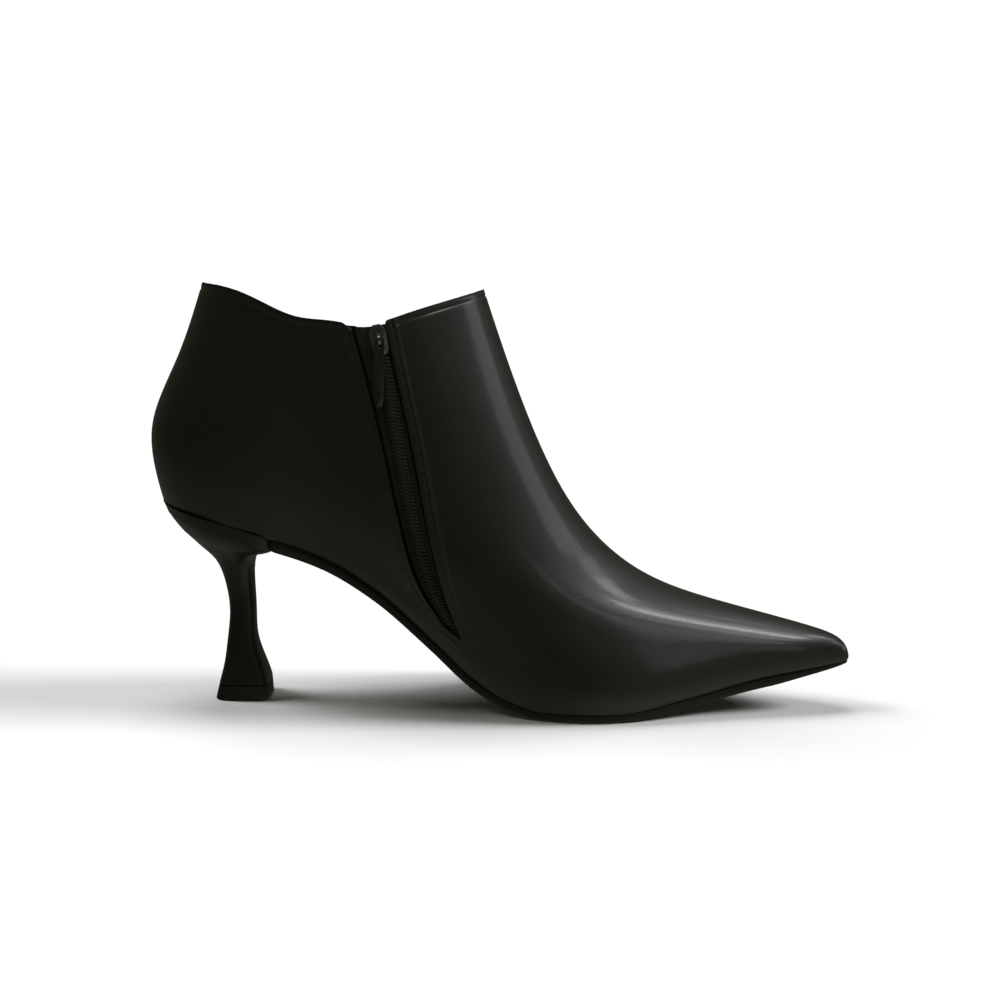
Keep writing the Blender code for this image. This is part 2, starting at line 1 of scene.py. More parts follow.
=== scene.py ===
"""A left ankle boot in smooth black leather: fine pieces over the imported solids, finishes and studio."""

import math
from collections import namedtuple
from contextlib import contextmanager

import bpy
import numpy as np
from mathutils import Matrix, Vector
from mathutils.kdtree import KDTree


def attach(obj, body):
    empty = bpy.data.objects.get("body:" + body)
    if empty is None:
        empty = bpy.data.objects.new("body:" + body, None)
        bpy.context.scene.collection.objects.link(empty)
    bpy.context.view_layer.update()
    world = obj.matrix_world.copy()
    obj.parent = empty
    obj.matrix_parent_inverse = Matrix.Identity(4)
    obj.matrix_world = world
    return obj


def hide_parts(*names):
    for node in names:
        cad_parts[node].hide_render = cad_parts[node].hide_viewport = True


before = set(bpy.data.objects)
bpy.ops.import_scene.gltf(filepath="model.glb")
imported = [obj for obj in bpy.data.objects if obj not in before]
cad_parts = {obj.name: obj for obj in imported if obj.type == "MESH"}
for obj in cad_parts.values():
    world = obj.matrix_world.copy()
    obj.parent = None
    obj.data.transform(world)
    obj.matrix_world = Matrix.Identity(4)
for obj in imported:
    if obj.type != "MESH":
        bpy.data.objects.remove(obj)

bl_info = {
    "name": "Ankle boot",
    "version": (1, 0, 0),
    "blender": (4, 5, 0),
    "location": "View3D > Sidebar > Ankle boot",
    "description": "Dresses the packed ankle boot and sets up its studio",
    "category": "Object",
}

# The last, in metres: the same tables that the solids are made from
LENGTH = 0.2495
BALL_WIDTH = 0.0745
SHAFT_HEIGHT = 0.148
SOLE_THICKNESS = 0.0028
WALL = 0.0018
PIECE_GAP = 0.0003
ARCH_FADE_HEEL = 1.7
ARCH_FADE_TOE = 1.0

# Top line: drop below the straight line between its peaks on the inner side, and how much lower the outer is
CollarPoint = namedtuple("CollarPoint", "share drop")
COLLAR_LINE = [
    CollarPoint(0.00, 0.0000),
    CollarPoint(0.12, 0.0012),
    CollarPoint(0.24, 0.0054),
    CollarPoint(0.36, 0.0100),
    CollarPoint(0.48, 0.0111),
    CollarPoint(0.60, 0.0120),
    CollarPoint(0.74, 0.0081),
    CollarPoint(0.88, 0.0036),
    CollarPoint(1.00, 0.0000),
]
COLLAR_OUTER_DROP = 0.0060
COLLAR_FADE = 2.0

# Back and ridge of the last at each level, as shares of the length from the heel and of the shaft's height
Level = namedtuple("Level", "level back_along back_height ridge_along ridge_height")
LEVELS = [
    Level(0.00, 0.0172, 0.482, 0.9990, 0.117),
    Level(0.06, 0.0118, 0.514, 1.0000, 0.130),
    Level(0.12, 0.0074, 0.544, 0.9900, 0.163),
    Level(0.20, 0.0030, 0.584, 0.9480, 0.194),
    Level(0.35, 0.0020, 0.659, 0.8270, 0.245),
    Level(0.50, 0.0152, 0.736, 0.7030, 0.318),
    Level(0.65, 0.0368, 0.818, 0.6038, 0.469),
    Level(0.80, 0.0544, 0.895, 0.5352, 0.688),
    Level(1.00, 0.0740, 1.000, 0.4684, 0.993),
]

# Widths of the last at each level, as shares of the ball's width, between the radii of its back and its ridge
Girth = namedtuple("Girth", "level back_radius heel waist ball toe ridge_radius")
GIRTHS = [
    Girth(0.00, 0.0240, 0.625, 0.530, 0.930, 0.455, 0.0026),
    Girth(0.06, 0.0250, 0.680, 0.640, 0.990, 0.518, 0.0036),
    Girth(0.12, 0.0260, 0.706, 0.695, 0.990, 0.540, 0.0043),
    Girth(0.20, 0.0265, 0.730, 0.730, 0.970, 0.570, 0.0044),
    Girth(0.35, 0.0260, 0.741, 0.760, 0.935, 0.655, 0.0050),
    Girth(0.50, 0.0240, 0.725, 0.780, 0.910, 0.722, 0.0074),
    Girth(0.65, 0.0210, 0.680, 0.787, 0.870, 0.722, 0.0112),
    Girth(0.80, 0.0175, 0.604, 0.780, 0.832, 0.685, 0.0125),
    Girth(1.00, 0.0135, 0.510, 0.760, 0.792, 0.585, 0.0125),
]
GIRTH_PLACES = [0.0, 0.12, 0.36, 0.62, 0.84, 1.0]
OUTER_LEAN = [0.0, 0.0, 0.13, 0.0, 0.05, 0.0]

# How far the last's middle swings to the side, along its length
Swing = namedtuple("Swing", "along sideways")
SWINGS = [Swing(0.0, -0.0015), Swing(0.25, -0.0015), Swing(0.62, 0.0), Swing(1.0, -0.0050)]

# Feather line and sole: shares of the shaft's height and of the sole's thickness
SoleStation = namedtuple("SoleStation", "along feather_height thickness")
SOLE_STATIONS = [
    SoleStation(0.017, 0.482, 1.80),
    SoleStation(0.100, 0.449, 1.80),
    SoleStation(0.180, 0.408, 1.50),
    SoleStation(0.250, 0.361, 1.42),
    SoleStation(0.320, 0.286, 1.40),
    SoleStation(0.400, 0.171, 1.35),
    SoleStation(0.460, 0.084, 1.30),
    SoleStation(0.510, 0.038, 1.15),
    SoleStation(0.560, 0.0189, 1.00),
    SoleStation(0.660, 0.0189, 1.00),
    SoleStation(0.760, 0.044, 1.08),
    SoleStation(0.880, 0.086, 1.22),
    SoleStation(0.940, 0.1021, 0.78),
    SoleStation(1.000, 0.117, 0.25),
]
BREAST_ALONG = 0.184
SOLE_OVERHANG = 0.0004
SOLE_TIP_SHARE = 0.9985

# Heel sections from the floor up: back and front ends, half width, squareness and share of the seat's shape
HeelSection = namedtuple(
    "HeelSection", "back_x back_z front_x front_z half_width back_square front_square seat_share"
)
HEEL_SECTIONS = [
    HeelSection(-0.1021, 0.0000, -0.0826, 0.0000, 0.0107, 4.0, 5.0, 0.0),
    HeelSection(-0.1009, 0.0056, -0.0830, 0.0056, 0.0101, 4.0, 5.0, 0.0),
    HeelSection(-0.0993, 0.0125, -0.0850, 0.0125, 0.0086, 3.6, 4.4, 0.0),
    HeelSection(-0.0982, 0.0215, -0.0877, 0.0215, 0.0068, 3.0, 3.6, 0.0),
    HeelSection(-0.0975, 0.0310, -0.0882, 0.0310, 0.0059, 2.6, 3.2, 0.0),
    HeelSection(-0.0986, 0.0400, -0.0886, 0.0395, 0.0063, 2.4, 3.0, 0.0),
    HeelSection(-0.1018, 0.0492, -0.0889, 0.0465, 0.0084, 2.3, 3.2, 0.0),
    HeelSection(-0.1076, 0.0555, -0.0882, 0.0510, 0.0125, 2.2, 3.8, 0.0),
    HeelSection(-0.1140, 0.0618, -0.0855, 0.0534, 0.0180, 2.1, 5.0, 0.0),
    HeelSection(-0.1190, 0.0682, -0.0800, 0.0556, 0.0226, 2.0, 7.0, 0.0),
    HeelSection(-0.1206, 0.0711, -0.0793, 0.0598, 0.0238, 2.0, 7.0, 1.0),
]
TOP_LIFT_HEIGHT = 0.0053
INSOLE_THICKNESS = 0.0022

# Zip in the side view: height, and places of the slit's back edge, the chain and the slit's front edge
ZipRow = namedtuple("ZipRow", "height back chain front")
ZIP_ROWS = [
    ZipRow(0.018, -0.0125, -0.0113, -0.0101),
    ZipRow(0.027, -0.0167, -0.0150, -0.0133),
    ZipRow(0.042, -0.0264, -0.0226, -0.0188),
    ZipRow(0.062, -0.0337, -0.0290, -0.0243),
    ZipRow(0.092, -0.0406, -0.0352, -0.0304),
    ZipRow(0.115, -0.0463, -0.0393, -0.0356),
    ZipRow(0.138, -0.0526, -0.0441, -0.0408),
]
ZIP_FOOT_LEVEL = 0.12
ZIP_TAPE_OVERLAP = 0.0035
ZIP_TAPE_FOOT = 0.03
ZIP_TAPE_TOP = 0.006
CHAIN_HALF_WIDTH = 0.0024
CHAIN_SIDE_GAP = 0.0007
CHAIN_FOOT_LEVEL = 0.145
SLIDER_HEIGHT = 0.1302
SLIDER_LENGTH = 0.0105
CHAIN_TOP_GAP = 0.0006

# Search steps on the last
SLOPE_STEP = 0.002
ZIP_SHARES = np.linspace(0.30, 0.75, 91)
ZIP_LEVELS = np.linspace(ZIP_FOOT_LEVEL, 0.98, 80)

# Upper: steps of the grid from the seam, slit, ridge and top edge, and counts of the even lines between
SEAM_STEPS = np.array([0.0003, 0.0006, 0.0010, 0.0016, 0.0026, 0.0045])
SLIT_STEPS = np.array(
    [0.0007, 0.0013, 0.0017, 0.0021, 0.0025, 0.0029, 0.0033, 0.0037, 0.0041, 0.0047, 0.0060]
)
RIDGE_STEPS = np.array([0.0006, 0.0012, 0.0018, 0.0025, 0.0033, 0.0043, 0.0056, 0.0075])
TOP_STEPS = np.array([0.0007, 0.0013, 0.0017, 0.0020, 0.0023, 0.0026, 0.0029, 0.0033, 0.0040, 0.0052])
BACK_COLUMNS = 26
FRONT_COLUMNS = 42
OUTER_COLUMNS = 74
TUCK_ROWS = 18
UPPER_ROWS = 112
ROW_SAMPLES = 1201
SLIT_EDGE_FINENESS = 4

# Relief of the upper and the round corners at the slit's top, in metres; the corners fade over levels
FOLD_START = 0.0030
FOLD_END = 0.0043
GROOVE_WIDTH = 0.0004
GROOVE_DEPTH = 0.0003
TOP_CREASE = 0.0023
TOP_CREASE_WIDTH = 0.00042
TOP_CREASE_DEPTH = 0.00022
TOP_EDGE_BAND = 0.0008
SEAM_WIDTH = 0.0006
SEAM_DEPTH = 0.0004
COLLAR_CORNER_BACK = 0.0036
COLLAR_CORNER_FRONT = 0.0008
COLLAR_CORNER_LEVELS = 0.10

# Outsole section, from its top round to the middle: distance in from the edge, and share of its height
SoleEdge = namedtuple("SoleEdge", "inset height")
SOLE_PROFILE = [
    SoleEdge(0.0060, 1.00),
    SoleEdge(0.0006, 1.00),
    SoleEdge(0.0001, 0.88),
    SoleEdge(-0.0002, 0.55),
    SoleEdge(0.0000, 0.28),
    SoleEdge(0.0004, 0.10),
    SoleEdge(0.0011, 0.00),
    SoleEdge(0.0034, 0.00),
    SoleEdge(0.0038, 0.10),
    SoleEdge(0.0042, 0.10),
    SoleEdge(0.0046, 0.00),
]
SOLE_ROWS = 150
SEAT_OVERLAP = 0.0002
SOLE_TAIL = 0.018
SOLE_TAIL_INSET = 0.0035

# Insole, heel and zip meshes
INSOLE_ROWS = 110
INSOLE_COLUMNS = 28
HEEL_RINGS = 110
HEEL_COLUMNS = 84
TAPE_COLUMNS = 36
TAPE_THICKNESS = 0.0007
TAPE_RISE = 0.0019
TAPE_SLOPE = 0.0010
TOOTH_DEPTH = 0.0003
TOOTH_THICKNESS = 0.0011
TOOTH_SLANT = math.radians(14)
TOOTH_LENGTH_SHARE = 0.78
TOOTH_REACH_SHARE = 1.35
TOOTH_SHIFT_SHARE = 0.33
TOOTH_BEVEL_SHARE = 0.28
METAL_ROUND = 0.00026
LIFT_ROUND = 0.0005
SOCK_ROUND = 0.0005
MERGE_DISTANCE = 0.00002

# Angles in degrees: edges that are rounded off, and faces that count as one
RIM_ANGLE = 75.0
PLATE_ANGLE = 60.0
METAL_ANGLE = 30.0
FLAT_ANGLE = 2.0

# Finishes: pitches of weave and twist in metres, polish of the heel and brightness of the metal
WARP_PITCH = 0.00062
WEFT_PITCH = 0.00048
TWIST_PITCH = 0.00042
HEEL_GLOSS = 0.15
SLIDER_BRIGHTNESS = 1.2
PULL_BRIGHTNESS = 0.6

# Numbers of the sockets of a Mix node that hold colours: its two inputs and its output
MIX_FIRST = 6
MIX_SECOND = 7
MIX_RESULT = 2

# Studio panels: place, size and spread in degrees; the toe boxes hang close and a grid narrows their light
LIGHT_TARGET = (0.05, 0.0, 0.05)
TOE_TARGET = (0.080, -0.02, 0.03)
PANEL_DISTANCE = 1.15
Panel = namedtuple(
    "Panel",
    "name azimuth elevation width height brightness target distance spread",
    defaults=[LIGHT_TARGET, PANEL_DISTANCE, 180.0],
)
PANELS = [
    Panel("strip_foot", 19.0, 8.0, 12.0, 14.0, 1.6),
    Panel("strip_low", 10.0, 23.0, 16.0, 9.0, 1.6),
    Panel("strip_middle", 9.0, 32.0, 16.0, 9.0, 1.9),
    Panel("strip_high", 16.0, 41.0, 10.0, 9.0, 2.6),
    Panel("strip_top", 19.0, 50.0, 10.0, 9.0, 6.0),
    Panel("arm_root", 5.0, 59.0, 9.0, 9.0, 4.0),
    Panel("arm_end", -12.0, 57.0, 9.0, 9.0, 15.0),
    Panel("arm_tip", -26.0, 53.0, 11.0, 11.0, 2.8),
    Panel("front_box", -38.0, 50.0, 10.0, 10.0, 3.4),
    Panel("toe_box_high", -47.0, 39.0, 16.0, 18.0, 0.085, TOE_TARGET, 0.18, 36.0),
    Panel("toe_box_low", -50.0, 18.0, 20.0, 22.0, 0.036, TOE_TARGET, 0.18, 36.0),
    Panel("back_box", 52.0, 68.0, 20.0, 20.0, 5.5),
    Panel("side_box", -116.0, 68.0, 20.0, 20.0, 3.1),
]

# The room: how steeply downwards it glows, the bounce before the toe, the floor and the camera
FLOOR_GLOW = (0.15, 0.55)
BOUNCE_AXIS = (0.671, -0.470, -0.574)
BOUNCE_GLOW = (0.60, 0.95)
BACKDROP_STRENGTH = 1.1
FLOOR_SIZE = 12.0
FLOOR_TONES = [(0.83, 0.83, 0.83), (0.85, 0.85, 0.85)]
SENSOR_WIDTH = 36.0
CLIP_START = 0.01

# Suns that reach the floor alone: place and softness in degrees
Sun = namedtuple("Sun", "name azimuth elevation softness strength")
SUNS = [
    Sun("floor_sun_right", 3.0, 32.0, 20.0, 2.8),
    Sun("floor_sun_left", 170.0, 45.0, 30.0, 1.9),
    Sun("floor_sun_back", 110.0, 72.0, 25.0, 1.0),
]


def natural_spline(knots, values):
    """A smooth curve through the values at the knots, straight at its two ends; it takes arrays of places."""
    knots = np.asarray(knots, float)
    values = np.asarray(values, float)
    steps = np.diff(knots)
    count = len(knots)
    system = np.eye(count)
    bends = np.zeros_like(values)
    for i in range(1, count - 1):
        system[i, i - 1 : i + 2] = steps[i - 1], 2 * (steps[i - 1] + steps[i]), steps[i]
        bends[i] = 6 * ((values[i + 1] - values[i]) / steps[i] - (values[i] - values[i - 1]) / steps[i - 1])
    curvature = np.linalg.solve(system, bends)
    spread = (...,) + (None,) * (values.ndim - 1)

    def at(x):
        x = np.asarray(x, float)
        i = np.clip(np.searchsorted(knots, x) - 1, 0, count - 2)
        step = steps[i][spread]
        left = (knots[i + 1] - x)[spread] / step
        right = (x - knots[i])[spread] / step
        cubic = (left**3 - left) * curvature[i] + (right**3 - right) * curvature[i + 1]
        return left * values[i] + right * values[i + 1] + cubic * step**2 / 6

    return at


def steady_spline(knots, values):
    """A curve through the values that never overshoots, so that equal neighbours stay exactly level."""
    knots = np.asarray(knots, float)
    values = np.asarray(values, float)
    steps = np.diff(knots)
    rises = np.diff(values) / steps
    slopes = np.concatenate([rises[:1], np.zeros(len(knots) - 2), rises[-1:]])
    for i in range(1, len(knots) - 1):
        if rises[i - 1] * rises[i] > 0:
            slopes[i] = 2 * rises[i - 1] * rises[i] / (rises[i - 1] + rises[i])

    def at(x):
        x = np.asarray(x, float)
        i = np.clip(np.searchsorted(knots, x) - 1, 0, len(knots) - 2)
        s = np.clip((x - knots[i]) / steps[i], 0.0, 1.0)
        start = (1 + 2 * s) * (1 - s) ** 2 * values[i] + s * (1 - s) ** 2 * steps[i] * slopes[i]
        return start + s**2 * (3 - 2 * s) * values[i + 1] + s**2 * (s - 1) * steps[i] * slopes[i + 1]

    return at


def smooth_step(x, start, end):
    """0 up to start, 1 from end on, and a soft slope between."""
    s = np.clip((x - start) / (end - start), 0.0, 1.0)
    return s * s * (3 - 2 * s)


def from_heel(share):
    """X of a place given as a share of the boot's length from its back."""
    return (share - 0.5) * LENGTH


side_ends = natural_spline(
    [row.level for row in LEVELS],
    [
        (
            from_heel(row.back_along),
            row.back_height * SHAFT_HEIGHT,
            from_heel(row.ridge_along),
            row.ridge_height * SHAFT_HEIGHT,
        )
        for row in LEVELS
    ],
)
girth_at = natural_spline([row.level for row in GIRTHS], [row[1:] for row in GIRTHS])
girth_weights = natural_spline(GIRTH_PLACES, np.eye(len(GIRTH_PLACES)))
lean_at = natural_spline(GIRTH_PLACES, OUTER_LEAN)
collar_drop = natural_spline([row.share for row in COLLAR_LINE], [row.drop for row in COLLAR_LINE])
sideways = steady_spline([from_heel(row.along) for row in SWINGS], [row.sideways for row in SWINGS])
feather_height = steady_spline(
    [from_heel(row.along) for row in SOLE_STATIONS],
    [row.feather_height * SHAFT_HEIGHT for row in SOLE_STATIONS],
)
sole_thickness = steady_spline(
    [from_heel(row.along) for row in SOLE_STATIONS],
    [row.thickness * SOLE_THICKNESS for row in SOLE_STATIONS],
)
zip_lines = {
    -1: natural_spline([row.height for row in ZIP_ROWS], [row.back for row in ZIP_ROWS]),
    0: natural_spline([row.height for row in ZIP_ROWS], [row.chain for row in ZIP_ROWS]),
    1: natural_spline([row.height for row in ZIP_ROWS], [row.front for row in ZIP_ROWS]),
}


def side_place(share, level, outer):
    """X and Z of points of the last in the side view, at shares of the way along its levels."""
    back_x, back_z, ridge_x, ridge_z = np.moveaxis(side_ends(level), -1, 0)
    foot_back_x, foot_back_z, foot_tip_x, foot_tip_z = side_ends(0.0)
    x = (1 - share) * back_x + share * ridge_x
    chord = (1 - share) * back_z + share * ridge_z
    foot_x = (1 - share) * foot_back_x + share * foot_tip_x
    foot_chord = (1 - share) * foot_back_z + share * foot_tip_z
    arch = feather_height(foot_x) - foot_chord
    drop = collar_drop(share) + np.where(outer, COLLAR_OUTER_DROP * np.sin(np.pi * np.sqrt(share)), 0.0)
    arch_fade = ARCH_FADE_HEEL + (ARCH_FADE_TOE - ARCH_FADE_HEEL) * share**2
    return x, chord + (1 - level) ** arch_fade * arch - level**COLLAR_FADE * drop


def half_width(share, level, outer):
    """Half widths of the last, without the rounding of its two ends."""
    back_x, back_z, ridge_x, ridge_z = np.moveaxis(side_ends(level), -1, 0)
    span = np.hypot(ridge_x - back_x, ridge_z - back_z)
    girth = np.moveaxis(girth_at(level), -1, 0)
    fullness = [np.sqrt(girth[0] * span / 2)]
    for place, width in zip(GIRTH_PLACES[1:-1], girth[1:-1]):
        fullness.append(width * BALL_WIDTH / 2 / (2 * math.sqrt(place * (1 - place))))
    fullness.append(np.sqrt(girth[-1] * span / 2))
    weights = np.moveaxis(girth_weights(share), -1, 0)
    lean = lean_at(share) * (1 - level)
    return sum(w * f for w, f in zip(weights, fullness)) * np.where(outer, 1 + lean, 1 - lean)


def last_points(turn, level):
    """Points of the last. turn is 0 at the back, pi at the ridge; between them lies the inner side."""
    turn, level = np.broadcast_arrays(np.asarray(turn, float), np.asarray(level, float))
    outer = turn > math.pi
    share = (1 - np.cos(turn)) / 2
    x, z = side_place(share, level, outer)
    y = sideways(x) - np.sin(turn) * half_width(share, level, outer)
    return np.stack([x, y, z], axis=-1)


def unit(vectors):
    """Vectors made one long."""
    return vectors / np.linalg.norm(vectors, axis=-1, keepdims=True)


def last_normals(turn, level):
    """Outward directions of the last."""
    low, high = np.maximum(level - SLOPE_STEP, 0.0), np.minimum(level + SLOPE_STEP, 1.0)
    along = last_points(turn + SLOPE_STEP, level) - last_points(turn - SLOPE_STEP, level)
    up = last_points(turn, high) - last_points(turn, low)
    return unit(np.cross(along, up))


def turn_of(share):
    """The turn on the inner side at a share of the way along a level."""
    return np.arccos(1 - 2 * share)


def zip_turn(level, side):
    """Where levels of the last meet the zip's chain (side 0), back edge (-1) or front edge (+1)."""
    shares = []
    for one in np.atleast_1d(level):
        x, z = side_place(ZIP_SHARES, one, outer=False)
        shares.append(np.interp(0.0, x - zip_lines[side](z), ZIP_SHARES))
    return turn_of(np.reshape(shares, np.shape(level)))


def slit_width(level):
    """Width of the open slit at levels."""
    return np.linalg.norm(
        last_points(zip_turn(level, 1), level) - last_points(zip_turn(level, -1), level), axis=-1
    )


def zip_level(height):
    """The level at which the zip's chain reaches a height."""
    heights = last_points(zip_turn(ZIP_LEVELS, 0), ZIP_LEVELS)[:, 2]
    return float(np.interp(height, heights, ZIP_LEVELS))


def along_line(points):
    """Distances along a line of points from its start."""
    return np.concatenate([[0.0], np.cumsum(np.linalg.norm(np.diff(points, axis=0), axis=1))])


def read_off(wanted, places, rows):
    """Rows of numbers that belong to places along a line, read off at the wanted places."""
    return np.stack([np.interp(wanted, places, column) for column in np.transpose(rows)], axis=-1)


def length_property(name, description, metres):
    """A property that holds a length."""
    return bpy.props.FloatProperty(name=name, description=description, default=metres, unit="LENGTH")


def angle_property(name, description, degrees):
    """A property that holds an angle."""
    radians = math.radians(degrees)
    return bpy.props.FloatProperty(name=name, description=description, default=radians, subtype="ANGLE")


def colour_property(name, description, tone):
    """A property that holds a colour."""
    return bpy.props.FloatVectorProperty(name=name, description=description, default=tone, subtype="COLOR")


def brightness_property(name, description, value):
    """A property that holds the brightness of a light."""
    return bpy.props.FloatProperty(name=name, description=description, default=value)


class BootTrim(bpy.types.PropertyGroup):
    """Sizes of the sewn and fitted details."""

    edge_round: length_property("Edge round", "Rounding of the leather's cut edges", 0.0006)
    fold_rise: length_property("Fold rise", "Height of the folded edge beside the zip", 0.00045)
    stitch_offset: length_property("Stitch offset", "From the slit's edge to its stitches", 0.0021)
    stitch_pitch: length_property("Stitch pitch", "From one stitch to the next", 0.0034)
    stitch_length: length_property("Stitch length", "Length of one stitch", 0.0025)
    thread_width: length_property("Thread width", "Width of the sewing thread", 0.0005)
    tooth_pitch: length_property("Tooth pitch", "From one tooth of the zip to the next", 0.00125)


class BootColours(bpy.types.PropertyGroup):
    """Colours and gloss of the finishes."""

    leather: colour_property("Leather", "Leather of the upper and heel", (0.0105, 0.0110, 0.0062))
    leather_roughness: bpy.props.FloatProperty(
        name="Leather roughness", description="Satin of the leather", default=0.42, subtype="FACTOR"
    )
    lining: colour_property("Lining", "Lining and sock", (0.020, 0.019, 0.017))
    rubber: colour_property("Rubber", "Sole and lift", (0.008, 0.008, 0.0075))
    tape: colour_property("Tape", "Woven tape of the zip", (0.017, 0.017, 0.011))
    teeth: colour_property("Teeth", "Coil of the zip", (0.014, 0.014, 0.009))
    thread: colour_property("Thread", "Sewing thread", (0.022, 0.022, 0.020))
    metal: colour_property("Metal", "Plated slider and pull", (0.16, 0.16, 0.15))


class BootStudio(bpy.types.PropertyGroup):
    """The studio's lights and camera."""

    panel_brightness: brightness_property("Panels", "Brightness of all the light panels", 1.0)
    panel_tone: colour_property("Panel tone", "Tone of the panels", (0.96, 0.97, 1.0))
    room_tone: colour_property("Room tone", "Tone of the dim room", (1.0, 1.0, 0.76))
    room_brightness: brightness_property("Room", "Brightness of the dim room", 0.069)
    floor_brightness: brightness_property("Floor bounce", "Light that comes up from the floor", 0.10)
    bounce_brightness: brightness_property("Front bounce", "Light from the floor before the toe", 0.20)
    camera_place: bpy.props.FloatVectorProperty(
        name="Camera",
        description="Where the camera stands",
        subtype="TRANSLATION",
        default=(-0.0011, -0.60, 0.16),
    )
    camera_dip: angle_property("Dip", "How far the camera looks down", 8.32)
    camera_roll: angle_property("Roll", "Turn of the picture", 0.88)
    lens: bpy.props.FloatProperty(
        name="Lens", description="Focal length in millimetres", unit="CAMERA", default=61.09
    )


def pick(made):
    """Makes one object the active one and the only one selected."""
    bpy.ops.object.select_all(action="DESELECT")
    bpy.context.view_layer.objects.active = made
    made.select_set(True)


@contextmanager
def edit_mode(made, kind):
    """Edit mode on one object, with its faces, edges or vertices as they are selected."""
    pick(made)
    bpy.ops.object.mode_set(mode="EDIT")
    bpy.ops.mesh.select_mode(type=kind)
    yield
    bpy.ops.object.mode_set(mode="OBJECT")


def add_sheet(name, points):
    """A grid whose vertices are moved to rows and columns of points."""
    rows, columns = points.shape[:2]
    bpy.ops.mesh.primitive_grid_add(x_subdivisions=columns - 1, y_subdivisions=rows - 1, size=1.0)
    made = bpy.context.object
    made.name = name
    made.data.name = name
    if len(made.data.vertices) != rows * columns:
        raise RuntimeError(f"{name}: the grid has {len(made.data.vertices)} vertices, not {rows * columns}")
    made.data.vertices.foreach_set("co", np.ascontiguousarray(points, dtype=np.float32).reshape(-1))
    made.data.update()
    return made


def set_uv(made, across, along):
    """Lays a sheet's UV map out in metres."""
    corner_vertices = np.empty(len(made.data.loops), dtype=np.int32)
    made.data.loops.foreach_get("vertex_index", corner_vertices)
    places = np.stack([across.reshape(-1), along.reshape(-1)], axis=-1)[corner_vertices]
    made.data.uv_layers.active.data.foreach_set("uv", places.astype(np.float32).reshape(-1))


def remove_cells(made, cells):
    """Deletes the faces of a grid whose numbers are given."""
    chosen = np.zeros(len(made.data.polygons), dtype=bool)
    chosen[cells] = True
    made.data.vertices.foreach_set("select", np.zeros(len(made.data.vertices), dtype=bool))
    made.data.edges.foreach_set("select", np.zeros(len(made.data.edges), dtype=bool))
    made.data.polygons.foreach_set("select", chosen)
    with edit_mode(made, "FACE"):
        bpy.ops.mesh.delete(type="FACE")


def merge(made):
    """Joins the vertices that lie on each other."""
    with edit_mode(made, "VERT"):
        bpy.ops.mesh.select_all(action="SELECT")
        bpy.ops.mesh.remove_doubles(threshold=MERGE_DISTANCE)


def close(made):
    """Joins a tube's seam, closes its two ends and turns its faces outwards."""
    with edit_mode(made, "VERT"):
        bpy.ops.mesh.select_all(action="SELECT")
        bpy.ops.mesh.remove_doubles(threshold=MERGE_DISTANCE)
        bpy.ops.mesh.fill_holes(sides=0)
        bpy.ops.mesh.select_all(action="SELECT")
        bpy.ops.mesh.normals_make_consistent(inside=False)


def apply(made, kind, **settings):
    """Adds a modifier with its settings and applies it."""
    bpy.context.view_layer.objects.active = made
    added = made.modifiers.new(kind.title(), kind)
    for setting, value in settings.items():
        setattr(added, setting, value)
    bpy.ops.object.modifier_apply(modifier=added.name)


def round_edges(made, width, segments, angle):
    """Rounds off the edges that are sharper than an angle in degrees."""
    limit = math.radians(angle)
    apply(made, "BEVEL", width=width, segments=segments, limit_method="ANGLE", angle_limit=limit)


def shade(made, angle):
    """Smooth faces with sharp edges beyond an angle in degrees."""
    pick(made)
    bpy.ops.object.shade_smooth_by_angle(angle=math.radians(angle))


def fit(made, materials, body, slot, *nodes):
    """Gives a piece its materials and its body, and hides the imported parts that it stands for; the slot is
    not used.
    """
    made.data.materials.clear()
    for one in materials:
        made.data.materials.append(one)
    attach(made, body)
    if nodes:
        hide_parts(*nodes)


def copies_along(base, name, matrices):
    """One piece of many copies of a base, each at its own place; the base goes away."""
    bpy.ops.object.select_all(action="DESELECT")
    copies = []
    for matrix in matrices:
        copy = base.copy()
        copy.data = base.data.copy()
        copy.data.transform(matrix)
        bpy.context.scene.collection.objects.link(copy)
        copy.select_set(True)
        copies.append(copy)
    bpy.data.objects.remove(base)
    bpy.context.view_layer.objects.active = copies[0]
    bpy.ops.object.join()
    made = bpy.context.object
    made.name = name
    made.data.name = name
    return made


def frames_along(points, normals, pitch, start, end=0.0):
    """Frames at an even pitch along a line on a surface: X along it, Z out of the surface."""
    places = along_line(points)
    count = int((places[-1] - start - end) / pitch) + 1
    found = []
    for i in range(count):
        distance = start + i * pitch
        ahead = min(distance + pitch / 4, places[-1])
        behind = max(distance - pitch / 4, 0.0)
        before, here, after = read_off([behind, distance, ahead], places, points)
        out = unit(read_off(distance, places, normals))
        along = unit(after - before)
        side = unit(np.cross(out, along))
        out = np.cross(along, side)
        turned = Matrix((along, side, out)).transposed().to_4x4()
        found.append(Matrix.Translation(here) @ turned)
    return found


